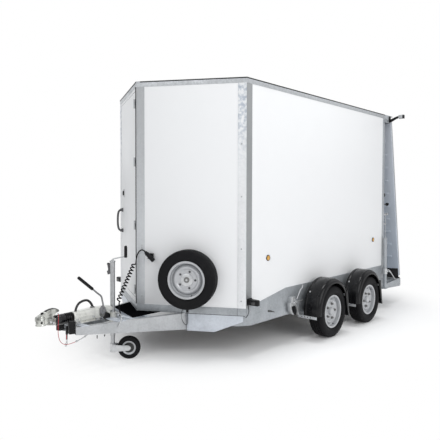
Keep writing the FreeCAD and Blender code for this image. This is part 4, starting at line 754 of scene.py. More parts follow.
def makeLead():
    route = [Vector(spot) for spot in leadShape["lower"]] + curlyRun()
    route += [Vector(spot) for spot in leadShape["upper"]] + [Vector(leadShape["plugStart"])]
    lead = smoothLine("electricLead", route, leadShape["radius"], 2, 3)
    lead.data.materials.append(finish["cord"])
    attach(lead, "trailer")
    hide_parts("lead_lower", "lead_coil", "lead_upper")

    start, end = Vector(leadShape["plugStart"]), Vector(leadShape["plugEnd"])
    shell = lathe([(-26, 4.6), (-26, 5.6), (-4, 8.6), (-3, 8.8), (-3, 14.0), (-1, 15.5), (11, 15.5), (13, 14.0),
                   (13, 18.5), (15, 20.0), (30, 20.6), (32, 19.4), (36, 19.4), (38, 20.6), (52, 20.8), (54, 19.6),
                   (58, 19.6), (60, 20.8), (72, 20.8), (74, 22.0), (79, 22.0), (81, 20.6), (84, 20.6), (85, 21.8),
                   (117.5, 21.4), (118.6, 20.4), (118.6, 17.5), (102, 17.0), (102, 4.6)], start, end - start, 40)
    grips = []
    axis = (end - start).normalized()
    side = axis.cross(Vector((0, 0, 1))).normalized()
    rise = side.cross(axis)
    for k in range(10):
        out = side * math.cos(math.tau * k / 10) + rise * math.sin(math.tau * k / 10)
        rib = block((-0.0012, 0.0155, 0.0188), (0.0012, 0.0290, 0.0216), 0.5)  # raised grip on the plug's nut
        grips.append(stood(rib, start, axis, out))
    key = stood(block((-0.004, 0.086, 0.019), (0.004, 0.112, 0.0219), 0.8), start, axis, rise)
    plug = settle([shell, key] + grips, "trailerPlug", "grip", "lead_plug")

    collar = lathe([(0, 5), (0, 13), (3, 13), (4, 10.5), (8, 8.6), (25, 5.4), (26, 4.6), (26, 3)],
                   Vector(leadShape["lower"][0]), (0.002, 0, 0.036), 28)
    settle(collar, "leadGrommet", "cord")


cableShape = {
    "radius": 0.0025,
    "route": [(2.506, 0.024, 0.552), (2.512, 0.046, 0.545), (2.522, 0.060, 0.500), (2.526, 0.058, 0.430),
              (2.516, 0.046, 0.350), (2.484, 0.032, 0.285), (2.426, 0.022, 0.254), (2.364, 0.040, 0.262),
              (2.312, 0.076, 0.290), (2.276, 0.104, 0.318), (2.264, 0.130, 0.33805)],
    "length": 0.575,
}


def makeBreakawayCable():
    cable = smoothLine("breakawayCable", cableShape["route"][::-1], cableShape["radius"], 3, 8)
    cable.data.materials.append(finish["redCable"])
    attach(cable, "trailer")
    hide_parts("breakaway_cable")
    first, second = [Vector(spot) for spot in cableShape["route"][:2]]
    ferrule = lathe([(-14, 2.4), (-14, 4.2), (-12.5, 4.6), (-1, 4.6), (0, 4.0), (0, 2.4)], first, first - second, 20)
    settle(ferrule, "cableFerrule", "zinc")


makeLead()
makeBreakawayCable()
print("stage: cords")


# CAD pieces that keep their shape, with softened edges: finish and edge in millimetres
dressed = {
    "sole_plates": ("galvanised", 1.2), "floor": ("board", 0.0), "side_panels": ("panel", 0.8),
    "nose_panel_left": ("panel", 0.8), "door_surround": ("panel", 0.8), "posts": ("post", 1.0),
    "roof": ("panel", 0.0), "roof_rails": ("rail", 0.8), "rear_frame": ("galvanised", 1.5),
    "rear_shutter": ("slat", 1.0), "rear_hood": ("galvanised", 1.2), "rear_deck": ("galvanised", 1.5),
    "guard_stays": ("rail", 0.6), "side_beams": ("galvanised", 1.5), "cross_members": ("galvanised", 1.5),
    "axles": ("galvanised", 1.5), "drawbar_beams": ("beam", 1.8), "drawbar_braces": ("brace", 1.0),
    "front_step": ("step", 0.8), "front_door": ("panel", 1.0), "fixed_hinges": ("tubeGrey", 0.8),
    "ramp_frame": ("galvanised", 1.5), "ramp_tread": ("rampFace", 0.8), "plug_park": ("grip", 1.0),
}
for node, (paint, edge) in dressed.items():
    dressNode(node, paint, edge)
print("stage: CAD pieces dressed")


tyreShape = {
    "steps": 96,
    "outer": [(0, 287.5), (12, 287.4), (12.8, 280.8), (19.2, 280.6), (20, 287.1), (37, 286.4), (37.8, 280),
              (44, 279.7), (44.8, 285.8), (56, 284.6), (65.5, 282.6), (72.5, 278.5), (78.5, 271.5), (81.8, 264),
              (82.2, 260.2), (83.8, 259.6), (85.8, 250), (87.2, 240), (87, 228), (85.2, 216), (81.5, 205),
              (78.8, 200), (79.4, 197.5), (76.5, 194.5), (72, 190.5), (66, 187.2), (60, 185), (57.8, 178),
              (57.8, 166.5)],
    "inner": [(46, 171), (62, 196), (72, 232), (66, 258), (40, 270), (0, 272)],
    "sipe": (0.0016, 0.0050),  # half width and depth of the cuts across the tread, metres
    "tread": 0.2815,  # least radius of the tread's ribs
    "ribs": (0.0125, 0.019, 0.044),  # how far out the middle, second and third ribs start or end
}


def makeTyre():
    half = tyreShape["outer"] + tyreShape["inner"]
    other = [(-along, radius) for along, radius in half if along > 0]
    piece = turned(half + other[::-1], tyreShape["steps"])
    pitch = math.tau / tyreShape["steps"]
    middle, second, outer = tyreShape["ribs"]

    def across(a, b):  # edges across the tread ribs, every second one, staggered from rib to rib
        low, high = min(abs(a.y), abs(b.y)), max(abs(a.y), abs(b.y))
        if min(math.hypot(a.x, a.z), math.hypot(b.x, b.z)) < tyreShape["tread"] or abs(a.y - b.y) < 0.004:
            return False  # down in a groove, or too short to be a rib's width
        if abs(math.atan2(a.x, a.z) - math.atan2(b.x, b.z)) > 0.01:
            return False  # round the tyre instead of across it
        turn = round(math.atan2(a.x, a.z) / pitch)
        shift = 0 if low > outer else 1 if low > second else 2
        if high < middle:
            return turn % 4 == 2
        return (turn + shift + (1 if a.y < 0 else 0)) % 2 == 0

    selectEdges(piece, across)
    width, depth = tyreShape["sipe"]
    bpy.ops.mesh.bevel(offset=width, offset_type="OFFSET", segments=1, affect="EDGES", clamp_overlap=True)
    bpy.ops.mesh.select_mode(type="FACE")
    bpy.ops.mesh.extrude_region_shrink_fatten(TRANSFORM_OT_shrink_fatten={"value": -depth})
    setMode("OBJECT")
    return piece


rimShape = {
    "steps": 72,
    "barrel": [(70, 180), (69, 183.2), (66.5, 183.5), (65, 181.5), (64.5, 169), (61, 166), (40, 165.5),
               (30, 166), (25, 164), (14, 151), (-24, 150), (-34, 165), (-61, 166), (-64.5, 169), (-65, 181.5),
               (-67, 183.5), (-70, 181), (-69.8, 166), (-64, 161.5), (-36, 161), (-27, 146), (16, 146.5),
               (27.5, 159.5), (33, 161), (60, 161.2), (66.8, 164), (68.5, 170)],
    "disc": [(7.5, 145.5), (14, 145), (25, 140), (37, 132), (44, 124), (46, 117), (44.5, 110), (40, 104),
             (36.2, 100), (35.2, 96), (35, 70), (35, 34), (30, 34), (30, 97), (32.5, 101), (37.5, 106.5),
             (40, 112), (40.8, 117), (39, 121), (33, 128.5), (22, 136.5), (13, 142), (7.5, 143)],
    "studCircle": 82.5,
    "studHole": 10.5,
    "face": 35,
    "nut": {"radius": 13, "height": 16, "washer": 15.5},
    "valve": [(0, 5.5), (4, 5.5), (6, 4.2), (30, 3.6), (30, 4.4), (36, 4.4), (38, 3), (38, 0), (0, 0)],
    "valvePlace": (0, 0.030, -0.1585),
    "valveLean": -14,
    "turns": {"FrontLeft": 20, "FrontRight": 47, "RearLeft": 133, "RearRight": -60},  # as each wheel stands, degrees
    "cap": [(34.5, 43.2), (48, 43), (50, 41.2), (57.5, 40), (60.5, 36.5), (61.6, 30), (62, 0), (34.5, 0)],
}


def studSpots():  # (x, z) of the five wheel studs, millimetres
    swings = [math.tau * (k + 0.5) / 5 for k in range(5)]
    return [(rimShape["studCircle"] * math.sin(swing), rimShape["studCircle"] * math.cos(swing)) for swing in swings]


def discAndBarrel():
    barrel = turned(rimShape["barrel"], rimShape["steps"])
    disc = turned(rimShape["disc"], rimShape["steps"])
    for spot in studSpots():
        cutBy(disc, cylinder(20, rimShape["studHole"], 12, 52, spot))
    return joined([barrel, disc])


def wheelNut():
    size, face = rimShape["nut"], rimShape["face"]
    washer = cylinder(24, size["washer"], face, face + 3)
    nut = cylinder(6, size["radius"], face + 3, face + 3 + size["height"])
    selectFaces(nut, lambda middle, normal: normal.y > 0.9)
    bpy.ops.mesh.inset(thickness=0.0030, depth=0.0022)
    bpy.ops.mesh.inset(thickness=0.0028, depth=0.0)
    bpy.ops.mesh.extrude_region_shrink_fatten(TRANSFORM_OT_shrink_fatten={"value": 0.004})
    setMode("OBJECT")
    return joined([washer, nut])


spareShape = {
    "s": 557.96,  # along the left nose wall from its tip, millimetres
    "z": 771,
    "face": 128.5,  # front of the wheel disc from the wall
    "spin": 16.5,  # degrees
    "wireLoop": [(526, 8, 470), (512, 16, 474), (490, 24, 462), (474, 27, 436), (472, 26, 392), (480, 20, 350),
                 (500, 14, 316), (520, 12, 302), (532, 10, 318), (532, 8, 352), (530, 6, 420)],
}


def makeWheels():
    tyre = makeTyre()
    rim = discAndBarrel()
    nut = wheelNut()
    nutSet = joined([copyOf(nut, Matrix.Translation(Vector((x, 0, z)) / 1000)) for x, z in studSpots()])
    bpy.data.objects.remove(nut)
    cap = turned(rimShape["cap"], 48, False)
    valve = turned(rimShape["valve"], 16, False)
    lean = Matrix.Rotation(math.radians(rimShape["valveLean"]), 4, "X")
    valve.data.transform(Matrix.Translation(rimShape["valvePlace"]) @ lean)
    for end in ("front", "rear"):
        for side, sign in (("left", 1), ("right", -1)):
            low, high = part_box("tyre_" + end + "_" + side)
            middle = (low + high) / 2
            body = "wheel_" + end + "_" + side
            named = end.title() + side.title()
            turn = rimShape["turns"][named]
            face = Matrix.Translation(middle) @ Matrix.Rotation(math.radians(turn), 4, "Y")
            if sign < 0:
                face = face @ Matrix.Rotation(math.pi, 4, "Z")
            settle(copyOf(tyre, face), "tyre" + named, "tyre", "tyre_" + end + "_" + side, body=body)
            settle(copyOf(rim, face), "rim" + named, "silver", "rim_" + end + "_" + side, body=body)
            settle(copyOf(cap, face), "hubCap" + named, "silver", body=body)
            # painted shade: the wheel nuts get a dark grey for the shadowed spots round the hub
            settle(copyOf(nutSet, face), "nuts" + named, "greyCast", body=body)
            settle(copyOf(valve, face), "valve" + named, "grip", body=body)
    low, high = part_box("spare_tyre")
    middle = (low + high) / 2
    spin = Matrix.Rotation(math.radians(spareShape["spin"]), 4, "Y")
    for master, name, paint, standsFor in ((tyre, "tyreSpare", "tyre", ["spare_tyre"]),
                                           (rim, "rimSpare", "silver", ["spare_rim"]),
                                           (valve, "valveSpare", "grip", [])):
        settle(stood(copyOf(master, spin), middle, noseFacing[1]), name, paint, *standsFor)
    for piece in (tyre, rim, nutSet, cap, valve):
        bpy.data.objects.remove(piece)


makeWheels()
print("stage: wheels")


def makeSpareCarrier():
    place = onNose(spareShape["s"], 0, spareShape["z"])
    ahead, face = noseFacing[1], spareShape["face"]
    wallPlate = stood(block((-0.070, 0.0, -0.090), (0.070, 0.006, 0.090), 2.0), place, ahead)
    boss = lathe([(0, 0), (0, 46), (8, 36), (10, 34), (face - 5, 34), (face - 5, 20), (face + 12, 20),
                  (face + 12, 0)], place, ahead, 32)
    clamp = lathe([(face + 0.3, 20.3), (face + 0.3, 60), (face + 2, 62), (face + 6, 60), (face + 8, 55),
                   (face + 9, 30), (face + 9, 20.3)], place, ahead, 44)
    settle([wallPlate, boss, clamp], "spareCarrier", "zinc", "spare_carrier", slotName="galvanised_steel")
    knob = lathe([(face + 8, 0), (face + 8, 27), (face + 10, 28), (face + 17, 26.5), (face + 19, 23), (face + 19, 12),
                  (face + 17, 10), (face + 17, 0)], place, ahead, 36)
    settle(knob, "spareKnob", "greyCast", slotName="dark_cast")
    bolt = stood(hexBolt(17, 7, 13), place + Vector(ahead) * (face + 16) / 1000, ahead)
    settle(bolt, "spareBolt", "zinc")
    spots = [(onNose(spareShape["s"] + ds, 6, spareShape["z"] + dz), ahead) for ds in (-54, 54) for dz in (-74, 74)]
    settle(spread(hexBolt(13, 6, 11), spots), "spareCarrierBolts", "zinc")
    # the stem under the wheel and the wire loop that guards it
    stem = [stood(block((-0.013, 0.0, 0.0), (0.013, 0.005, 0.130), 1.2), onNose(528, 0, 425), ahead),
            stood(block((-0.016, 0.0, 0.0), (0.016, 0.009, 0.018), 1.2), onNose(528, 0, 470), ahead)]
    settle(stem, "spareStem", "grip")
    loop = bentRod([nosePoint(*spot) for spot in spareShape["wireLoop"]], 2.4, detail=8)
    settle(loop, "spareWireLoop", "grip")


makeSpareCarrier()
print("stage: spare carrier")


guardShape = {
    "centres": (-1245, -2139),  # x of each guard's centre, 22 ahead of the hub
    "height": 327.5,
    "radius": 335,
    "front": -8,
    "rear": 150,
    "steps": 60,
    "inner": 1038,
    "outer": 1235,
    "shoulder": 45,
    "lip": 279,
    "foot": (-343, 192),  # lower end of the flap: x from the guard's centre, and height
    "flapThick": 6,
    "bolts": ((38, 92, 143), 332.8, 1076),  # angles round the hoop, radius and y
    "flapBolts": (62, (1062, 1190)),  # how far down the flap, and y
    "holes": (1016, 1052, 1088, 1124),  # y of the holes in the strip ahead of each guard
    "holeBolt": 1160,
    "holesBelow": 15.3,  # under the guard's front end
}


def guardSection():  # (y, radius) round the section of the rolled sheet, in millimetres
    y0, y1, r = guardShape["inner"], guardShape["outer"] - 2.5, guardShape["radius"]
    bend = guardShape["shoulder"]
    outer = [(y0, 313), (y0, r - 4), (y0 + 1.2, r - 1.2), (y0 + 4, r), (y0 + 30, r), (y0 + 33, r - 2),
             (y0 + 43, r - 2), (y0 + 46, r), (y1 - bend - 22, r), (y1 - bend - 18, r - 0.8)]
    inner = [(y0 + 3.5, 313), (y0 + 3.5, r - 5), (y0 + 5, r - 4), (y0 + 30, r - 4), (y0 + 33, r - 6),
             (y0 + 43, r - 6), (y0 + 46, r - 4), (y1 - bend - 22, r - 4), (y1 - bend - 18, r - 4.6)]
    for k in range(9):
        angle = math.radians(90 * k / 8)
        outer.append((y1 - bend + bend * math.sin(angle), r - bend - 0.8 + bend * math.cos(angle)))
        inner.append((y1 - bend + (bend - 4) * math.sin(angle), r - bend - 0.8 + (bend - 4) * math.cos(angle)))
    outer += [(y1, 287), (y1 + 0.6, 285.5), (y1 + 2.4, 284.6), (y1 + 2.4, 280), (y1 + 1.4, 279)]
    inner += [(y1 - 4, 287), (y1 - 4, 280), (y1 - 3, 279)]
    return outer + inner[::-1]


def guardRay(degrees):  # from the guard's centre, 0 ahead and 90 up
    return Vector((math.cos(math.radians(degrees)), 0, math.sin(math.radians(degrees))))


def guardFlap():  # the flap's two ends, and the ways along it and into it, in metres from the guard's centre
    x, high = guardShape["foot"]
    foot = Vector((x, 0, high - guardShape["height"])) / 1000
    outer = guardRay(guardShape["rear"]) * guardShape["radius"] / 1000
    along = (foot - outer).normalized()
    return outer, foot, along, Vector((-along.z, 0, along.x))


def makeGuard():  # the front left guard round the origin, its flap leaning back
    start = math.radians(guardShape["rear"])
    sweep = guardShape["rear"] - guardShape["front"]
    section = [(r * math.cos(start) / 1000, y / 1000, r * math.sin(start) / 1000) for y, r in guardSection()]
    hoop = startOutline(section)
    bpy.ops.mesh.spin(steps=guardShape["steps"], angle=-math.radians(sweep), center=(0, 0, 0), axis=(0, 1, 0))
    setMode("OBJECT")
    for degrees in (guardShape["rear"], guardShape["front"]):  # a cap over each open end
        ray = guardRay(degrees)
        selectEdges(hoop, lambda a, b: all((Vector((p.x, 0, p.z)).normalized() - ray).length < 0.002 for p in (a, b)))
        bpy.ops.mesh.edge_face_add()
        setMode("OBJECT")
    pick(hoop)
    setMode("EDIT")
    bpy.ops.mesh.select_mode(type="VERT")
    bpy.ops.mesh.select_all(action="SELECT")
    bpy.ops.mesh.remove_doubles(threshold=weldGap)
    closeShell()

    y0, y1, thick = guardShape["inner"] / 1000, guardShape["outer"] / 1000, guardShape["flapThick"] / 1000
    outer, foot, along, inward = guardFlap()
    top = outer - along * 0.004
    flap = plate([top + Vector((0, y0, 0)), foot + Vector((0, y0 + 0.004, 0)),
                  foot + inward * thick + Vector((0, y0 + 0.004, 0)), top + inward * thick + Vector((0, y0, 0))],
                 (0, y1 - y0 - 0.004, 0), 1.2)
    side = Vector((0, y1 - 0.0035, 0))
    lip = outer * (guardShape["lip"] / guardShape["radius"])
    wing = plate([top + side, foot + side, foot + side + Vector((0.026, 0, 0)),
                  foot + side - along * 0.12 + inward * 0.040, lip + side], (0, 0.0032, 0), 1.0)
    ribs = []
    for k in range(5):  # moulded ribs down the back of the flap
        side = Vector((0, y0 + 0.030 + k * 0.034, 0))
        high, low, rise = outer + along * 0.030 + side, foot - along * 0.018 + side, inward * 0.0022
        ribs.append(plate([high, low, low - rise, high - rise], (0, 0.007, 0), 0.9))
    return joined([hoop, flap, wing] + ribs)


def guardBolts():  # places and directions of one guard's bolts, round the same origin
    angles, radius, side = guardShape["bolts"]
    places = [((guardRay(degrees) * radius + Vector((0, side, 0))) / 1000, guardRay(degrees)) for degrees in angles]
    outer, _, along, inward = guardFlap()
    down, sides = guardShape["flapBolts"]
    spot = outer + (along * down + inward * guardShape["flapThick"]) / 1000
    return places + [(spot + Vector((0, y / 1000, 0)), inward) for y in sides]


def makeGuards():
    guard = makeGuard()
    bolts = spread(hexBolt(13, 5, 11), guardBolts())
    placed, fixed = [], []
    for x in guardShape["centres"]:
        for side in (1, -1):
            place = Matrix.Translation(mm(x, 0, guardShape["height"]))
            if side < 0:
                place = Matrix.Scale(-1, 4, (0, 1, 0)) @ place
            placed.append(copyOf(guard, place))
            fixed.append(copyOf(bolts, place))
    bpy.data.objects.remove(guard)
    bpy.data.objects.remove(bolts)
    settle(placed, "mudguardSet", "guard", "mudguards", angle=40)
    settle(fixed, "mudguardBolts", "zinc")


makeGuards()
print("stage: mudguards")


couplingShape = {
    "ballX": 1601,
    "cup": [(466, 25.5), (466, 43.2), (467.2, 44), (471, 44), (472.4, 43), (474, 40.8), (498, 40), (514, 39.2),
            (528, 36), (539, 29), (547, 19.5), (551, 9.5), (552, 0), (531, 0), (528, 9), (521, 17.5), (511, 23.5),
            (500, 25.5)],
    "neck": [(1636, 22, 474, 516), (1622, 31, 471, 522), (1598, 36, 468, 527), (1560, 35, 464, 524),
             (1524, 33, 456, 518), (1494, 31, 450, 514), (1474, 30, 450, 514)],
    "lever": [(1643, 506), (1643, 533), (1638, 542), (1628, 547), (1591, 563), (1548, 585), (1520, 592), (1487, 594),
              (1462, 589), (1444, 580), (1436, 571), (1441, 563), (1457, 561), (1470, 548), (1482, 538),
              (1500, 528), (1505, 508), (1560, 500), (1620, 498)],
    "leverHalf": 22,
    "trimHalf": 15.84,
    "trim": [(1560, 583), (1520, 595), (1487, 597.5), (1460, 592), (1440, 581), (1436, 575), (1443, 577), (1462, 586),
             (1487, 591), (1520, 589), (1558, 578)],
}


def makeCoupling():
    cup = lathe(couplingShape["cup"], mm(couplingShape["ballX"], 0, 0), (0, 0, 1), 48)
    neck = lofted(couplingShape["neck"], 0.45, 6)
    bore = lathe([(450, 0), (450, 25.5), (500, 25.5), (516, 20), (524, 0)], mm(couplingShape["ballX"], 0, 0),
                 (0, 0, 1), 40)
    cutBy(neck, bore)
    ribs = []
    for side in (1, -1):  # pressed rib and edge flange along each side
        rib = plate([mm(1612, side * 34.5, 474), mm(1612, side * 34.5, 484), mm(1500, side * 31, 472),
                     mm(1490, side * 30.6, 462)], (0, side * 0.004, 0), 1.4)
        ribs.append(rib)
    bolts = spread(hexBolt(17, 8, 14), [(mm(x, side * (half - 1.5), z), (0, side, 0)) for side in (1, -1)
                                        for x, half, z in ((1499, 31.5, 473), (1528, 33.2, 486))])
    tube = lathe([(0, 25), (420, 25), (440, 24.6), (440, 17), (0, 17)], mm(1040, 0, 472), (1, 0, 0), 36)
    settle([cup, neck] + ribs, "couplingHead", "cast", "coupling_head")
    settle(bolts, "couplingBolts", "zinc")
    settle(tube, "drawTube", "darkCast")

    half = couplingShape["leverHalf"]
    lever = plate([mm(x, -half, z) for x, z in couplingShape["lever"]], (0, 2 * half / 1000, 0), 0)
    selectFaces(lever, lambda middle, normal: abs(normal.y) > 0.9)  # both sides are pressed in
    bpy.ops.mesh.inset(thickness=0.006, depth=0.0)
    bpy.ops.mesh.extrude_region_shrink_fatten(TRANSFORM_OT_shrink_fatten={"value": -0.003})
    setMode("OBJECT")
    bevelled(lever, 2.8, 50, 3)
    settle(lever, "releaseHandle", "cast")
    half = couplingShape["trimHalf"]
    trim = plate([mm(x, -half, z) for x, z in couplingShape["trim"]], (0, 2 * half / 1000, 0), 1.2)
    pin = lathe([(0, 0), (0, 8), (1, 9), (6, 9), (7, 8), (7, 0)], mm(1614, 36, 497), (0, 1, 0), 24)
    latch = block(mm(1598, -9, 556), mm(1578, 9, 575), 2.0)
    settle([trim, pin, latch], "releaseTrim", "grip")


gaiterShape = {
    "rear": 1297,
    "z": 486,
    "folds": 4,
    "foldFrom": 10,
    "pitch": 17,
    "crest": 47.5,
    "valley": 36.5,
    "fold": ((0.0, 0), (0.16, 0.1), (0.34, 0.72), (0.44, 0.96), (0.56, 0.96), (0.66, 0.72), (0.84, 0.1)),
}


def makeGaiter():
    outline = [(0, 25.6), (0, 45.0), (1.5, 46.6), (6, 46.6), (8, 44.5)]
    for k in range(gaiterShape["folds"]):
        at = gaiterShape["foldFrom"] + k * gaiterShape["pitch"]
        for along, rise in gaiterShape["fold"]:
            size = gaiterShape["valley"] + rise * (gaiterShape["crest"] - gaiterShape["valley"])
            outline.append((at + along * gaiterShape["pitch"], size))
    outline += [(80, 42), (83, 45.8), (87, 46.4), (110, 46.4), (150, 46.0), (164, 45), (168, 43.4),
                (171, 39), (173, 34.5), (176, 33), (178, 32), (180, 30), (180, 25.6)]
    piece = lathe(outline, mm(gaiterShape["rear"], 0, gaiterShape["z"]), (1, 0, 0), 56)
    settle(piece, "gaiterBellows", "bellows", "gaiter", slotName="bellows_rubber", angle=40)


housingShape = {
    "body": [(1297, 43, 430, 529), (1293, 45.5, 427, 532), (1281, 46.5, 426, 533), (1270, 46.5, 425.5, 533),
             (1180, 47.5, 425, 536), (1097, 48, 425, 540), (1040, 48, 426, 538.5), (1024, 48, 432, 538),
             (1010, 48, 452, 537), (992, 47.5, 470, 536), (940, 47, 478, 533.5), (900, 46, 482, 528),
             (884, 44.5, 484, 525), (880, 42, 487, 522)],
    "flange": (1292, 1032, 425, 433, 54),
    "boltX": (1272, 1252, 1062),
    "ridges": [(1262, 1036, 479, 490), (1262, 1062, 452, 459)],
    "webs": (1236, 1180, 1124, 1068),
    "nipples": (1150, 1080),
    "clips": (1268, 1100),
    "boss": (948, 440),
    "recess": (1002, 472),
}


def makeHousing():
    body = lofted(housingShape["body"], 0.62, 7)
    collar = lathe([(0, 40), (0, 45), (1.5, 46.4), (10, 46.6), (12, 45.4), (13, 43), (16, 42)], mm(1281, 0, 486),
                   (1, 0, 0), 48)
    x1, x0, low, high, half = housingShape["flange"]
    pieces = [body, collar, block(mm(x0, -half, low), mm(x1, half, high), 2.0)]
    for side in (1, -1):
        for front, rear, z0, z1 in housingShape["ridges"]:
            corners = ((front, z0 + 2), (front - 12, z1), (rear + 20, z1), (rear, z0))
            pieces.append(plate([mm(x, side * 46, z) for x, z in corners], (0, side * 0.0058, 0), 2.0))
        for x in housingShape["webs"]:  # upright cast webs under the ridge
            pieces.append(block(mm(x - 3, side * 44, 432), mm(x + 3, side * 51, 478), 1.6))
    for x in housingShape["nipples"]:  # grease nipple bosses on the back
        pieces.append(lathe([(0, 0), (0, 9), (7, 8), (8, 6.5), (8, 0)], mm(x, 18, 528), (0, 0, 1), 20))
    foot = block(mm(900, -46, 425), mm(960, 46, 437), 2.0)
    web = block(mm(910, -44, 430), mm(940, 44, 492), 2.0)
    settle(pieces + [foot, web], "overrunHousing", "housing", "overrun_housing", angle=40)

    clips = []
    for x in housingShape["clips"]:  # strap clips round the casting
        clips.append(block(mm(x - 5, -52, 462), mm(x + 5, 52, 470), 1.0))
        for side in (1, -1):
            clips.append(block(mm(x - 9, side * 47, 458), mm(x + 9, side * 54, 474), 1.6))
    damper = lathe([(0, 0), (0, 20), (2, 22), (88, 22), (90, 20), (90, 0)], mm(939, 0, 451), (1, 0, 0), 28)
    settle(clips + [damper], "housingClips", "zinc")
    spots = [(mm(x, side * 51, 433), (0, 0, 1)) for x in housingShape["boltX"] for side in (1, -1)]
    spots += [(mm(925, side * 34, 437), (0, 0, 1)) for side in (1, -1)]
    settle(spread(hexBolt(19, 10, 15), spots), "housingBolts", "zinc")

    recess, discs = [], []
    for side in (1, -1):
        x, z = housingShape["recess"]
        recess.append(lathe([(0, 0), (0, 30), (4, 31), (6, 30), (6, 26), (3, 23), (3, 0)], mm(x, side * 45, z),
                            (0, side, 0), 40))
        x, z = housingShape["boss"]
        place = mm(x, side * 30, z)
        discs.append(lathe([(0, 0), (0, 35), (20, 36), (24.4, 34.8), (26, 32), (26, 20), (23.5, 18), (23.5, 8),
                            (26, 7), (26, 0)], place, (0, side, 0), 40))
    settle(recess, "housingRecess", "greyCast")
    settle(discs, "leverBoss", "grip")


leverShape = {
    "side": 57,
    "path": [(985, 500), (996, 545), (1010, 606), (1018, 642), (1048, 664), (1110, 716), (1168, 764)],
    "gripFrom": (1115, 720.3),
    "gripTo": (1268, 847),
    "radius": 8,
    "grabPath": [(1262, 526.5), (1258, 542), (1248, 570), (1226, 598), (1196, 611), (1160, 617), (1128, 612),
                 (1100, 588), (1083, 562), (1076, 543.5)],
    "grabRadius": 11,
    "pivot": (985, 500),
    "quadrant": [(1002, 470), (1030, 492), (1034, 520), (1018, 548), (996, 556), (972, 530), (966, 500), (978, 478)],
    "teeth": (48, 503, -30, 11, 9),  # radius, height of the centre, first angle, pitch and count
}


def makeLevers():
    y = leverShape["side"]
    rod = bentRod([(x, y, z) for x, z in leverShape["path"]], leverShape["radius"], detail=8)
    pivotX, pivotZ = leverShape["pivot"]
    pivot = lathe([(0, 0), (0, 19), (1, 20), (12, 20), (13, 18), (13, 12), (17.6, 11), (18, 10), (18, 0)],
                  mm(pivotX, 48, pivotZ), (0, 1, 0), 32)
    quadrant = plate([mm(x, 49, z) for x, z in leverShape["quadrant"]], (0, 0.006, 0), 1.2)
    teeth = []
    radius, high, first, pitch, count = leverShape["teeth"]
    for k in range(count):
        angle = math.radians(first + pitch * k)
        place = mm(pivotX + radius * math.cos(angle), 55, high + radius * math.sin(angle))
        tooth = block((-0.0022, -0.003, -0.003), (0.0022, 0.003, 0.004), 0.5)
        teeth.append(stood(tooth, place, (0, 1, 0), (math.cos(angle), 0, math.sin(angle))))
    settle([rod, pivot, quadrant] + teeth, "handbrakeLever", "greyPaint", "handbrake_lever")

    low, high = [mm(x, y, z) for x, z in (leverShape["gripFrom"], leverShape["gripTo"])]
    long = (high - low).length * 1000
    outline = [(0, 0), (0, 8.2), (0, 13.0), (1.5, 14.4), (9, 14.6)]
    for k in range(9):  # grooves round the grip
        at = 16 + k * 18
        outline += [(at, 14.6), (at + 1.2, 13.6), (at + 3.6, 13.6), (at + 4.8, 14.6)]
    outline += [(long - 12, 14.6), (long - 5, 13.4), (long - 1.5, 10), (long, 5), (long, 0)]
    grip = lathe(outline, low, high - low, 32)
    settle(grip, "handbrakeGrip", "grip")

    grab = bentRod([(x, 0, z) for x, z in leverShape["grabPath"]], leverShape["grabRadius"], detail=8)
    feet = [block(mm(1240, -15, 520), mm(1284, 15, 529), 2.0), block(mm(1058, -15, 534), mm(1096, 15, 545), 2.0)]
    settle([grab] + feet, "grabHandle", "blackPaint", "grab_handle", slotName="black_paint")
    spots = [(mm(x, side * 10, z), (0, 0, 1)) for x, z in ((1277, 528.5), (1090, 544.5)) for side in (1, -1)]
    settle(spread(hexBolt(8, 4, 6), spots), "grabHandleBolts", "zinc")


endBlockShape = {
    "front": (1393, 110.3),
    "along": (-0.95824, 0.28644),  # back along the left beam, seen from above
    "length": 58,
    "width": 50,
    "low": 365,
    "high": 478,
}


def makeEndBlocks():
    shape = endBlockShape
    blocks, strips = [], []
    for side in (1, -1):
        def corner(along, inward, z):
            ax, ay = shape["along"]
            x = shape["front"][0] + ax * along - ay * inward
            y = shape["front"][1] + ay * along + ax * inward
            return mm(x, side * y, z)

        outline = [corner(0, 6, shape["low"]), corner(6, 0, shape["low"]), corner(shape["length"], 0, shape["low"]),
                   corner(shape["length"], shape["width"], shape["low"]), corner(6, shape["width"], shape["low"]),
                   corner(0, shape["width"] - 6, shape["low"])]
        body = plate(outline, (0, 0, (shape["high"] - shape["low"]) / 1000), 3.0)
        insetFaces(body, lambda middle, normal: abs(normal.x) > 0.9 and abs(normal.z) < 0.3
                   and 0.38 < middle.z < 0.49, 0.007, -0.002)
        blocks.append(body)
        near, far, low = shape["length"] - 12, shape["length"] - 2, shape["low"] + 4
        strips.append(plate([corner(near, 0, low), corner(far, 0, low), corner(far, 4, low), corner(near, 4, low)],
                            (0, 0, 0.108), 0.8))
    settle(blocks, "beamEndBlocks", "grip", "beam_end_blocks")
    settle(strips, "beamEndStrips", "zinc")


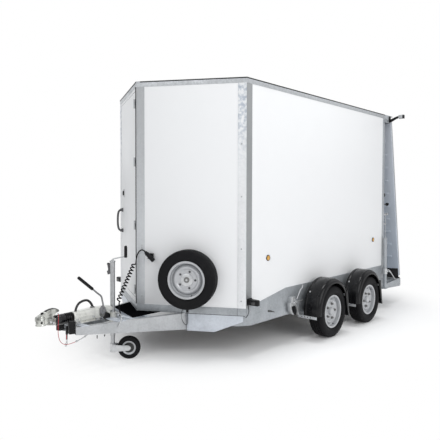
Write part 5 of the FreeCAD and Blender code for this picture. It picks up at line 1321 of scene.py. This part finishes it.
def makeCableHanger():
    arm = block(mm(1267, 6, 407), mm(1363, 26, 418.6), 1.5)
    strap = block(mm(1357.5, 6, 300), mm(1362.5, 26, 418), 1.2)
    guide = block(mm(1353, 6, 344), mm(1367, 27, 419), 2.0)
    settle([arm, strap, guide], "cableHanger", "grip", "cable_hanger", slotName="zinc_steel")
    web = block(mm(1356.6, 8, 300), mm(1363.2, 24, 350), 1.0)
    eyelet = block(mm(1361, 9, 238), mm(1379, 25, 264), 5.0)
    shackle = bentRod([(1360, 9, 300), (1360, 8, 286), (1360, 10, 272), (1360, 16, 268), (1360, 22, 272),
                       (1360, 24, 286), (1360, 23, 300)], 2.8)
    cross = lathe([(0, 0), (0, 4.5), (2, 4.5), (2, 3), (20, 3), (20, 4.5), (23, 4.5), (23, 0)], mm(1360, 4.6, 301),
                  (0, 1, 0), 16)
    ring = ringRod((1362, 15, 262), (11, 0, 0), (0, 0, 11), 2.2)
    settle([shackle, cross, ring, eyelet], "cableShackle", "zinc")
    settle(web, "cableStrap", "redCable")
    link = bentRod([(1280, 61, 278), (1258, 76, 290), (1222, 104, 318), (1212, 126, 335)], 4.4)
    clevis = lathe([(-9, 0), (-9, 6), (-6, 8.5), (6, 8.5), (9, 6), (9, 0)], mm(1286, 56, 274),
                   (0.76, -0.54, -0.30), 20)
    eye = ringRod((1226, 99, 314), (9, 3, 0), (0, 0, 9), 2.0)
    settle([link, clevis, eye], "cableLink", "zinc")


makeCoupling()
makeGaiter()
makeHousing()
makeLevers()
makeEndBlocks()
makeCableHanger()
print("stage: coupling and overrun")


jockeyShape = {
    "x": 840,
    "y": -10,
    "tubeLow": 225,
    "marks": (400, 905, 14.5),  # pressed marks: first, last, pitch
    "crankEnd": (756, 86),
    "wheelUp": 110,
    "trail": 157,
    "axle": (-0.71341, -0.70075, 0),  # the way the wheel's axle points
    "back": (-0.70075, 0.71341, 0),  # the way the wheel trails
    "bridge": [(10, 74), (10, 145), (34, 145), (34, 120), (30, 98), (34, 74)],
    "plate": [(0, 76), (0, 143), (36, 143), (110, 136), (140, 137), (158, 134), (172, 124), (178, 110), (172, 96),
              (158, 86), (140, 83), (110, 84), (36, 76)],
}


def makeJockey():
    shape = jockeyShape
    x, y = shape["x"], shape["y"]
    first, last, pitch = shape["marks"]
    outline = [(shape["tubeLow"], 20.4), (shape["tubeLow"], 23.2), (shape["tubeLow"] + 1, 24)]
    at = first
    while at < last:
        outline += [(at, 24), (at + 0.8, 22.9), (at + 4.2, 22.9), (at + 5.0, 24)]
        at += pitch
    outline += [(934, 24), (936, 27.6), (949, 28), (951, 27), (951, 14), (957, 12), (961, 9), (961, 0), (820, 0),
                (820, 20.4)]
    tube = lathe(outline, mm(x, y, 0), (0, 0, 1), 36)
    endX, endY = shape["crankEnd"]
    arm = bentRod([(x, y, 952), (x, y, 962), (x - 8, y + 9, 969), (x - 30, y + 34, 976), (endX + 14, endY - 16, 990),
                   (endX, endY, 995), (endX, endY, 1004)], 6.2)
    settle([tube, arm], "jockeyTube", "tubeGrey", "jockey_tube")
    grip = lathe([(980, 0), (980, 11), (982, 14), (990, 15.4), (1082, 14.6), (1090, 13), (1095, 8), (1095, 0)],
                 mm(endX, endY, 0), (0, 0, 1), 28)
    knob = lathe([(0, 0), (0, 6), (10, 6), (12, 11), (26, 11), (28, 9), (28, 0)], mm(x + 14, y - 22, 918),
                 (0.3, -1, 0), 20)
    settle([grip, knob], "jockeyGrip", "grip")
    strap = []
    for k, (z0, z1, out, lean) in enumerate(((868, 918, 27, 0.15), (842, 886, 33, -0.25), (822, 858, 29, 0.3))):
        piece = block((-0.015, -0.0018, 0), (0.015, 0.0018, (z1 - z0) / 1000), 1.0)  # folded safety strap
        place = mm(x + 0.661 * out + 0.75 * (3 + 4 * k), y - 0.75 * out + 0.661 * (3 + 4 * k), z0)
        strap.append(stood(piece, place, (0.75, 0.661, 0.1 * (k - 1)), (0.661 * lean, -0.75 * lean, 1)))
    loop = ringRod((x + 20, y - 22, 912), (9, -9, 0), (0, 0, 14), 2.4)
    settle(strap + [loop], "jockeyStrap", "handle")

    inner = lathe([(150.3, 0), (150.3, 19), (151.5, 20), (699, 20), (700, 19), (700, 0)], mm(x, y, 0), (0, 0, 1), 32)
    stem = lathe([(74.3, 0), (74.3, 15), (75.3, 16), (79, 16), (80.3, 15), (80.3, 10), (152, 10), (152, 0)],
                 mm(x, y, 0), (0, 0, 1), 24)
    settle([inner, stem], "jockeyInnerTube", "tubeGrey", "jockey_inner_tube", body="jockey_lift")

    # the fork is drawn with +x back along its trail, +y on the axle line and z from the ground
    def forkPlate(side):
        inside = side * 36.0
        return plate([Vector((along, inside, z)) / 1000 for along, z in shape["plate"]], (0, side * 0.004, 0), 1.0)

    sleeve = lathe([(66, 16.8), (66, 25), (67, 26), (149, 26), (150, 25), (150, 10.5), (83, 10.5), (83, 16.8)],
                   Vector(), (0, 0, 1), 40)
    bridge = plate([Vector((along, -39, z)) / 1000 for along, z in shape["bridge"]], (0, 0.078, 0), 1.5)
    hole = lathe([(60, 0), (60, 26), (155, 26), (155, 0)], Vector(), (0, 0, 1), 36)
    cutBy(bridge, hole)
    axle = Vector((shape["trail"], 0, shape["wheelUp"])) / 1000
    bolt = lathe([(-48, 0), (-48, 8), (48, 8), (48, 0)], axle, (0, 1, 0), 20)
    nuts = spread(hexBolt(19, 6, 13), [(axle + Vector((0, side * 0.040, 0)), (0, side, 0)) for side in (1, -1)])
    fork = joined([sleeve, bridge, forkPlate(1), forkPlate(-1), bolt, nuts])
    stood(fork, mm(x, y, 0), shape["axle"])
    settle(fork, "jockeyFork", "zinc", "jockey_fork", body="jockey_swivel")

    hub = mm(x, y, shape["wheelUp"]) + Vector(shape["back"]) * shape["trail"] / 1000
    tyre = lathe([(-22, 63), (-27, 67), (-29.4, 74), (-30, 84), (-28.6, 95), (-24, 103.5), (-15, 108.8), (-6, 110),
                  (-5, 108.6), (5, 108.6), (6, 110), (15, 108.8), (24, 103.5), (28.6, 95), (30, 84), (29.4, 74),
                  (27, 67), (22, 63)], hub, shape["axle"], 72)
    settle(tyre, "jockeyTyre", "tyre", "jockey_wheel", body="jockey_wheel")
    half = [(22.0, 50), (23.5, 54), (26.5, 58), (28.6, 62), (28.8, 65), (27.2, 66.6), (25.4, 65), (23, 63.2)]
    rim = lathe(half[::-1] + [(-a, r) for a, r in half], hub, shape["axle"], 56)
    settle(rim, "jockeyRim", "silver", body="jockey_wheel")
    half = [(26.0, 8.4), (26.0, 15), (24, 17), (14, 19), (9, 26), (8, 44), (10, 51)]
    dish = lathe(half[::-1] + [(-a, r) for a, r in half], hub, shape["axle"], 48)
    settle(dish, "jockeyDish", "darkCast", body="jockey_wheel")


def makeJockeyClamp():
    x, y = jockeyShape["x"], jockeyShape["y"]
    ring = lathe([(353, 24.4), (353, 32), (354.5, 33.4), (453.5, 33.4), (455, 32), (455, 24.4)], mm(x, y, 0),
                 (0, 0, 1), 40)
    back = block(mm(x - 35, y - 20, 353), mm(x - 22, y + 20, 455), 1.5)
    ears = [block(mm(x - 34, y + side * 22, 421), mm(x - 20, y + side * 32, 453), 1.5) for side in (1, -1)]
    slot = block(mm(x + 20, y - 1.5, 340), mm(x + 40, y + 1.5, 470), 0)
    clamp = cutBy(joined([ring, back] + ears), slot)
    settle(clamp, "jockeyClamp", "housing", "jockey_clamp", angle=40)
    rod = bentRod([(818, 10, 441), (818, 26, 443), (826, 44, 450), (852, 92, 466), (872, 130, 471), (905, 200, 467),
                   (938, 256, 461), (946, 263, 452), (958, 259, 420), (975, 255, 377)], 5.0, detail=8)
    ball = lathe([(0, 0), (0, 5), (3, 7.5), (10, 7.5), (13, 5), (13, 0)], mm(975.5, 254.8, 389),
                 (0.25, -0.06, -1), 20)
    settle([rod, ball], "jockeyClampRod", "zinc")
    bolts = spread(hexBolt(13, 6, 11), [(mm(x - 22, y + side * 31, z), (0, side, 0)) for side in (1, -1)
                                       for z in (429, 446)])
    settle(bolts, "jockeyClampBolts", "zinc")


standShape = {
    "x": -3070,
    "y": 1003,
    "radius": 24,
    "rearClamp": (485, 560),
    "web": [(23, 287), (40, 287), (23, 318)],
    "nearLeg": [(-672, 446), (-674, 400), (-682, 366), (-702, 336), (-737, 311), (-743, 319), (-718, 348),
                (-703, 378), (-698, 408), (-716, 446)],
    "farLeg": [(-772, 446), (-794, 424), (-814, 396), (-825, 372), (-834, 340), (-836, 301), (-825, 301), (-820, 338),
               (-808, 368), (-792, 396), (-772, 414), (-752, 434)],
    "wing": [(-786, 456), (-830, 455), (-922, 449), (-926, 443), (-850, 433), (-786, 431)],
    "pad": [(-716, 402), (-720, 370), (-745, 318), (-812, 296), (-818, 350), (-800, 386), (-774, 406)],
    "screw": [(-793, 475), (-831, 523), (-860, 567), (-905, 582), (-908, 612)],
}


def makeStands():
    x, y, r = standShape["x"], standShape["y"], standShape["radius"]
    for side, name in ((1, "left"), (-1, "right")):
        tube = lathe([(287, 20.5), (287, r), (984, r), (988, r - 0.6), (990, r - 2), (990, 20.5)], mm(x, side * y, 0),
                     (0, 0, 1), 36)
        foot = block(mm(x - 45, side * y - 34, 281), mm(x + 45, side * y + 34, 287), 1.6)
        insetFaces(foot, lambda middle, normal: normal.z > 0.9, 0.006, -0.0015)
        webs = [plate([mm(x + end * out, side * y - 2, z) for out, z in standShape["web"]], (0, 0.004, 0), 0.6)
                for end in (1, -1)]
        settle([tube, foot] + webs, "propStand" + name.title(), "galvanised", "stand_" + name, body="stand_" + name)

    bodies, bolts, rods, pads = [], [], [], []
    z0, z1 = standShape["rearClamp"]
    for side in (1, -1):
        def upright(spots, near, deep):  # a plate seen square from the side
            return plate([mm(px, side * near, pz) for px, pz in spots], (0, side * deep / 1000, 0), 1.4)

        # the empty front clamp is an open saddle under a head block, with a wing and a T-screw behind
        head = block(mm(-790, side * 967, 404), mm(-714, side * 1016, 500), 3.0)
        bodies += [head, upright(standShape["nearLeg"], 990, 36), upright(standShape["farLeg"], 990, 36),
                   upright(standShape["wing"], 1012, 12)]
        pads.append(upright(standShape["pad"], 996, 14))
        rods.append(bentRod([(px, side * 1028, pz) for px, pz in standShape["screw"]], 5.2))
        bolts += [(mm(-754 + dx, side * 1015, 466), (0, side, 0)) for dx in (-20, 20)]

        # the rear clamp holds the stand's tube, and its T-screw stands out from the tube
        ring = lathe([(z0, r + 0.4), (z0, r + 7), (z0 + 1.5, r + 8.3), (z1 - 1.5, r + 8.3), (z1, r + 7),
                      (z1, r + 0.4)], mm(x, side * y, 0), (0, 0, 1), 36)
        back = block(mm(x - 30, side * 967, z0 - 8), mm(x + 30, side * 973, z1 + 22), 1.4)
        neck = [block(mm(x - 14, side * 970, z), mm(x + 14, side * 980, z + 8), 1.2) for z in (z0 + 1, z1 - 9)]
        middle, out = 0.5 * (z0 + z1), y + r + 6
        boss = lathe([(0, 0), (0, 12), (8, 11), (10, 9), (10, 0)], mm(x, side * out, middle), (0, side, 0), 20)
        bodies += [ring, back, boss] + neck
        bolts += [(mm(x + dx, side * 973, z1 + 12), (0, side, 0)) for dx in (-18, 18)]
        screw = lathe([(0, 0), (0, 5), (36, 5), (38, 8), (46, 8), (47, 6), (47, 0)], mm(x, side * out, middle),
                      (0, side, 0), 16)
        bar = bentRod([(x - 32, side * (out + 41), middle - 22), (x - 10, side * (out + 41), middle - 5),
                       (x + 12, side * (out + 41), middle + 13), (x + 38, side * (out + 40), middle + 33)], 4.4)
        rods += [screw, bar]
    settle(bodies, "standClamps", "zinc", "stand_clamps", slotName="galvanised_steel", angle=40)
    settle(spread(hexBolt(13, 6, 11), bolts), "standClampBolts", "zinc")
    settle(rods, "standClampRods", "zinc")
    settle(pads, "standClampPads", "grip")


makeJockey()
makeJockeyClamp()
makeStands()
print("stage: jockey wheel and prop stands")


rivetShape = {
    "radius": 7.5,
    "height": 2.6,
    "nosePost": (57, (570, 1080, 1589, 2100, 2610)),
    "cornerPost": (1064, (473, 560, 1065, 1569, 2073, 2671)),
    "rail": ((-287, -943, -1570, -2200, -2830), 2668),
    "sole": ((-60, -230, -400, -2960, -3070), 455),
}


def makeRivets():
    places = []
    for s, heights in (rivetShape["nosePost"], rivetShape["cornerPost"]):
        for z in heights:
            places.append((onNose(s, 0, z), noseFacing[1]))
            if s > 500:  # the corner posts have a twin on the right, and the nose post hasn't
                places.append((onNose(s, 0, z, -1), noseFacing[-1]))
    for spots, z in (rivetShape["rail"], rivetShape["sole"]):
        places += [(mm(x, side * 967, z), (0, side, 0)) for x in spots for side in (1, -1)]
    rivets = spread(rivetHead(rivetShape["radius"], rivetShape["height"]), places)
    settle(rivets, "bodyRivets", "tubeGrey", angle=50)


trimShape = {
    "roof": (2698.5, 2709.6, 1.6),  # low, high and how far it stands out
    "seam": (415.0, 419.4, 0.8),
    "noseLong": 1113.0,
}


def noseStrip(s0, s1, low, high, out, side=1, back=1.0, edge=0.3):  # a flat strip lying on a nose wall
    half = (s1 - s0) / 2000
    strip = block((-half, -back / 1000, low / 1000), (half, out / 1000, high / 1000), edge)
    return stood(strip, onNose((s0 + s1) / 2, 0, 0, side), noseFacing[side])


def makeTrims():
    low, high, out = trimShape["roof"]
    long = trimShape["noseLong"]
    strips = [noseStrip(40, long, low, high, out), noseStrip(6, long, low, high, 3.0, -1)]
    for side in (1, -1):
        strips.append(block(mm(-3099, side * 966, low), mm(0, side * (967 + out), high), 0.3))
    settle(strips, "roofEdgeTrim", "trim")
    low, high, out = trimShape["seam"]
    # black strips at the body's joints; along the nose walls' foot they paint the shaded gap under the rail's edge
    seams = [noseStrip(505, 1100, low, high, out), noseStrip(505, 1100, low, high, out, -1),
             noseStrip(1024.5, 1027.5, 420, 489, 0.6, edge=0.1)]
    seams.append(plate([mm(-356, 964, 420.5), mm(-356, 964, 398), mm(-487, 964, 376), mm(-420, 964, 404)],
                       (0, 0.0007, 0), 0))
    seams += [block(mm(-3098, side * 964.5, 421), mm(-3040, side * 966.9, 424), 0.1) for side in (1, -1)]
    settle(seams, "bodySeamsWithPaintedShade", "bellows")
    clip = [stood(block((-0.010, 0, -0.008), (0.010, 0.012, 0.008), 1.0), onNose(55, 0, 1031), noseFacing[1]),
            stood(block((-0.006, 0, -0.004), (0.006, 0.004, 0.016), 0.6), onNose(57, 0, 1052), noseFacing[1])]
    settle(clip, "leadClip", "tubeGrey")
    wire = bentRod([(-12, 985, 524), (-8, 984, 503), (-15, 990, 480), (-12, 985, 440), (-6, 976, 417),
                    (2, 962, 402)], 3.2, detail=8)
    settle(wire, "markerWire", "cord", slotName="grip_black")
    pin = lathe([(0, 0), (0, 6), (3, 6), (3, 4.2), (24, 4.2), (28, 2.5), (28, 0)], mm(1105, 110, 300), (0, 0, -1), 16)
    stud = lathe([(0, 0), (0, 7), (6, 7), (6, 4.4), (16, 4.4), (16, 0)], mm(1051, 149, 304), (0, 0, -1), 16)
    settle([pin, stud], "beamPins", "darkCast", slotName="zinc_steel")


doorShape = {
    "near": 46,
    "far": 984.9,
    "low": 548,
    "high": 2618,
    "hinges": (634, 1281, 1914, 2492),
    "gap": 4,
    "handle": (904.9, 1171, 1409, 61, 12),  # s, low, high, out and radius
    "latch": (824.9, 1556, 1650, 45),
}


def makeDoor():
    aside = noseFacing[-1]
    near, far, gap = doorShape["near"], doorShape["far"], doorShape["gap"]
    low, high = doorShape["low"], doorShape["high"]
    seals = [noseStrip(near - gap, near - 0.3, low - gap, high + gap, -1.0, -1, 6, 0.1),
             noseStrip(far + 0.3, far + gap, low - gap, high + gap, -1.0, -1, 6, 0.1),
             noseStrip(near, far, low - gap, low - 0.3, -1.0, -1, 6, 0.1),
             noseStrip(near, far, high + 0.3, high + gap, -1.0, -1, 6, 0.1)]
    # painted shade: a black strip standing out beside the door's hinge edge, for the shadow line along the post; the
    # strips above are the door's seals
    seals.append(noseStrip(1.0, 5.0, 491, 2654, 8.0, -1, 0, 0.6))
    settle(seals, "doorSealAndPaintedShadow", "grip")

    straps, screws = [], []
    for z in doorShape["hinges"]:
        outline = [(near + 1, z - 26), (near + 46, z - 26), (near + 74, z - 14), (near + 74, z + 14),
                   (near + 46, z + 26), (near + 1, z + 26)]
        strap = plate([onNose(s, 0, height, -1) for s, height in outline], Vector(aside) * 0.004, 0.8)
        arm = noseStrip(26, near + 4, z - 15.5, z + 15.5, 9.0, -1, -0.8, 0.8)
        barrel = lathe([(-15.5, 4.8), (-15.5, 8.4), (-14.9, 9), (14.9, 9), (15.5, 8.4), (15.5, 4.8)],
                       onNose(26, 13, z, -1), (0, 0, 1), 28)
        straps += [strap, arm, barrel]
        screws += [(onNose(s, 4, z + dz, -1), aside) for s, dz in ((near + 14, 16), (near + 14, -16), (near + 62, 0),
                                                                  (near + 38, 12), (near + 38, -12))]
    heads = spread(rivetHead(4.2, 1.8), screws)
    settle(straps, "doorStraps", "tubeGrey", body="door")
    settle(heads, "doorScrews", "zinc", body="door")

    s, z0, z1, out, radius = doorShape["handle"]
    route = [(0, z0), (out * 0.55, z0), (out * 0.85, z0 + 18), (out, z0 + 70), (out, z1 - 70), (out * 0.85, z1 - 18),
             (out * 0.55, z1), (0, z1)]
    grip = bentRod([nosePoint(s, across, z, -1) for across, z in route], radius, detail=10)
    feet = [lathe([(0, 0), (0, 24), (3, 24), (16, 17), (34, 14), (34, 0)], onNose(s, 0, z, -1), aside, 28)
            for z in (z0, z1)]
    settle([grip] + feet, "doorHandle", "handle", "door_fittings", body="door")

    s, z0, z1, half = doorShape["latch"]
    housing = noseStrip(s - half, s + half, z0, z1, 5.0, -1, 0, 2.0)
    paddle = noseStrip(s - half + 8, s + half - 22, z0 + 22, z1 - 20, 14.0, -1, -4, 2.5)
    barrel = lathe([(0, 0), (0, 9), (12.4, 9), (13.6, 7.8), (13.6, 2.2), (11, 2.2), (11, 0)],
                   onNose(s + half - 11, 0, z0 + 47, -1), aside, 24)
    settle(housing, "doorLatchPlate", "zinc", body="door")
    settle(paddle, "doorLatch", "grip", body="door")
    settle(barrel, "doorLock", "zinc", body="door")


rearShape = {
    "rod": (-3178, 952, 596, 1300),
    "stayRod": [(-3262, 958, 516), (-3276, 962, 512), (-3328, 962, 500), (-3400, 960, 444), (-3480, 958, 384),
                (-3535, 957, 348)],
    # the black sheet on the ramp's inside, painted shade: its span up the ramp, its depth from the ramp's face and
    # its half width
    "shadeSheetAlong": (-36, 112),
    "shadeSheetDepth": (50.2, 61.6),
    "shadeSheetHalf": 955,
    "rampFoot": (-3707, 392),
    "rampUp": (0.15512, 0.98790),  # the way the closed ramp stands
}


def makeRearFittings():
    x, y, low, high = rearShape["rod"]
    rod = lathe([(low, 0), (low, 5.5), (high, 5.5), (high, 0)], mm(x, y, 0), (0, 0, 1), 20)
    guides = [block(mm(x - 10, y - 10, z - 8), mm(-3100, y + 8, z + 8), 1.2) for z in (700, 960, 1180)]
    latch = [block(mm(-3236, y - 8, 1300), mm(-3100.2, y - 2, 1326), 2.0),
             block(mm(-3268, y - 14, 1300), mm(-3232, y + 4, 1332), 2.5)]
    hook = bentRod([(-3100, 950, 1556), (-3124, 950, 1558), (-3148, 950, 1570), (-3154, 950, 1592),
                    (-3142, 950, 1610), (-3126, 950, 1612)], 7.5, detail=8)
    plateUp = block(mm(-3106, 930, 1540), mm(-3099.6, 964, 1600), 1.2)
    settle([rod] + guides + latch + [plateUp], "rearLatchRod", "tubeGrey")
    knob = lathe([(0, 0), (0, 14), (3, 15), (12, 15), (16, 7), (128, 7), (130, 20), (134, 22), (156, 22), (161, 17),
                  (161, 0)], mm(-3100, 948, 1455), (-1, 0, 0), 28)
    darkBits = [block(mm(x - 20, y - 12, 768), mm(-3100, y + 10, 790), 2.0),
                block(mm(x - 26, y - 12, 602), mm(-3100, y + 10, 626), 2.0)]
    settle([knob, hook] + darkBits, "rearKnob", "grip")
    settle(bentRod(rearShape["stayRod"], 6.5, detail=8), "rearStayRod", "zinc")
    bumps = [lathe([(0, 0), (0, 15), (4, 17), (12, 17), (16, 12), (17, 0)], mm(-3700, side * 940, 346.4),
                   (0, 0, 1), 24) for side in (1, -1)]
    settle(bumps, "rampRest", "grip")

    ux, uz = rearShape["rampUp"]
    footX, footZ = rearShape["rampFoot"]

    def onRamp(along, depth):  # up the ramp from its foot, and out from its face
        return mm(footX + ux * along + uz * depth, -rearShape["shadeSheetHalf"], footZ + uz * along - ux * depth)

    # painted shade: a black sheet across the ramp's inside near its foot, with a bar on it, stands for the shadowed
    # gap there
    a0, a1 = rearShape["shadeSheetAlong"]
    d0, d1 = rearShape["shadeSheetDepth"]
    outline = [onRamp(a0, d0 + 1), onRamp(a0, d0 + 5), onRamp(4, d1), onRamp(a1 - 3, d1), onRamp(a1, d1 - 3),
               onRamp(a1, d0)]
    wide = (0, 2 * rearShape["shadeSheetHalf"] / 1000, 0)
    flap = plate(outline, wide, 0.8)
    clamp = plate([onRamp(a1 - 22, d1), onRamp(a1 - 22, d1 + 3), onRamp(a1 - 4, d1 + 3), onRamp(a1 - 4, d1)],
                  wide, 0.6)
    settle(flap, "rampPaintedShadeSheet", "blackPaint", body="ramp")
    settle(clamp, "rampPaintedShadeBar", "blackPaint", body="ramp")


def makeStayHoles():
    ray = guardRay(guardShape["front"]) * guardShape["radius"]
    z = guardShape["height"] + ray.z - guardShape["holesBelow"]
    holes, bolts = [], []
    for x in [centre + ray.x for centre in guardShape["centres"]]:
        for side in (1, -1):
            # painted shade: thin black discs where the strip's holes are
            holes += [lathe([(0, 0), (0, 6.0), (0.5, 6.0), (0.5, 0)], mm(x, side * y, z), (1, 0, 0), 18)
                      for y in guardShape["holes"]]
            bolts.append((mm(x, side * guardShape["holeBolt"], z), (1, 0, 0)))
    settle(holes, "stayHolesPaintedShade", "bellows")
    settle(spread(hexBolt(13, 6, 11), bolts), "stayBolts", "zinc")


makeRivets()
makeTrims()
makeDoor()
makeRearFittings()
makeStayHoles()
print("stage: body fittings")


frontLampShape = {
    "z": 551,
    "plan": [(-84, 967), (-14, 967), (-16, 985), (-22, 1075), (-25, 1083), (-32, 1087), (-56, 1087), (-63, 1083),
             (-66, 1075)],
    "lens": (-24, -14.4, 1013, 1059, 534, 568),
}


def sidePair(makeOne):  # one piece on the left, its twin on the right
    first = makeOne()
    return joined([first, copyOf(first, Matrix.Scale(-1, 4, (0, 1, 0)))])


def frontArm():
    z = frontLampShape["z"]
    arm = plate([mm(x, y, z - 27) for x, y in frontLampShape["plan"]], (0, 0, 0.054), 5.0)
    ribs = [block(mm(-19 - lean, y, z - 23), mm(-15.8 - lean, y + 3, z + 23), 0.8)
            for y, lean in ((982, -0.21), (989, 0.28), (996, 0.77))]
    foot = block(mm(-90, 967, z - 33), mm(-10, 971, z + 33), 1.5)
    return joined([arm, foot] + ribs)


def frontLens():
    x0, x1, y0, y1, z0, z1 = frontLampShape["lens"]
    return block(mm(x0, y0, z0), mm(x1, y1, z1), 3.0)


rearLampShape = {
    "x": -3250,
    "z": 2656,
    "arm": [(975, 2618), (975, 2650), (990, 2660), (1062, 2688), (1112, 2698), (1112, 2668), (1066, 2656),
            (1000, 2622)],
    "lamp": (1104, 1175, 2655, 2707),
}


def rearArm():
    x = rearLampShape["x"]
    arm = plate([mm(x - 11, y, z) for y, z in rearLampShape["arm"]], (0.022, 0, 0), 4.0)
    foot = block(mm(x - 20, 967, rearLampShape["z"] - 44), mm(x + 20, 979, rearLampShape["z"] + 44), 3.0)
    y0, y1, z0, z1 = rearLampShape["lamp"]
    band = block(mm(x - 8, y0, z0), mm(x + 8, y1, z1), 2.0)
    end = block(mm(x - 27, y1 - 14, z0 + 1), mm(x + 27, y1, z1 - 1), 2.5)
    return joined([arm, foot, band, end])


def rearLens(sign):
    x, (y0, y1, z0, z1) = rearLampShape["x"], rearLampShape["lamp"]
    return block(mm(x + sign * 7, y0 + 2, z0 + 2), mm(x + sign * 27, y1 - 13, z1 - 2), 3.0)


tailLampShape = {
    "x": (-3752.4, -3715.4),
    "y": (700, 930),
    "z": (240, 330),
    "parts": ((862, 926, "amber"), (764, 858, "red"), (704, 760, "clear")),
}


def tailShell():
    (x0, x1), (y0, y1), (z0, z1) = tailLampShape["x"], tailLampShape["y"], tailLampShape["z"]
    return block(mm(x0 + 12, y0, z0), mm(x1, y1, z1), 4.0)


def tailGlass(y0, y1):
    x0 = tailLampShape["x"][0]
    z0, z1 = tailLampShape["z"]
    return block(mm(x0, y0, z0 + 4), mm(x0 + 14, y1, z1 - 4), 3.5)


reflectorShape = {
    "spots": ((-353, 950), (-2759, 981)),
    "rim": [(0, 0), (0, 30), (5, 30), (8, 29), (9, 27.4), (8.6, 25.6), (6, 25.2), (6, 0)],
    "glass": [(4.5, 0), (4.5, 25), (6.4, 25), (7.6, 22), (8.4, 14), (8.6, 0)],
}


def reflectorSet(outline):
    return [lathe(outline, mm(x, side * 964.2, z), (0, side, 0), 40)
            for x, z in reflectorShape["spots"] for side in (1, -1)]


def makeLamps():
    settle(sidePair(frontArm), "frontMarkers", "grip", "marker_lamps", slotName="lamp_plastic")
    settle(sidePair(frontLens), "frontMarkerLenses", "smoked")
    settle(sidePair(rearArm), "rearMarkers", "grip", slotName="lamp_plastic")
    settle(sidePair(lambda: rearLens(1)), "rearMarkerFront", "clear")
    settle(sidePair(lambda: rearLens(-1)), "rearMarkerRear", "red")
    settle(sidePair(tailShell), "tailLamps", "grip", "tail_lamps", slotName="lamp_plastic")
    for y0, y1, paint in tailLampShape["parts"]:
        settle(sidePair(lambda: tailGlass(y0, y1)), "tailGlass" + paint.title(), paint)
    settle(reflectorSet(reflectorShape["rim"]), "reflectorRims", "blackPaint")
    settle(reflectorSet(reflectorShape["glass"]), "reflectorGlass", "amber", "side_reflectors",
           slotName="reflector_amber")


makeLamps()
print("stage: lamps")
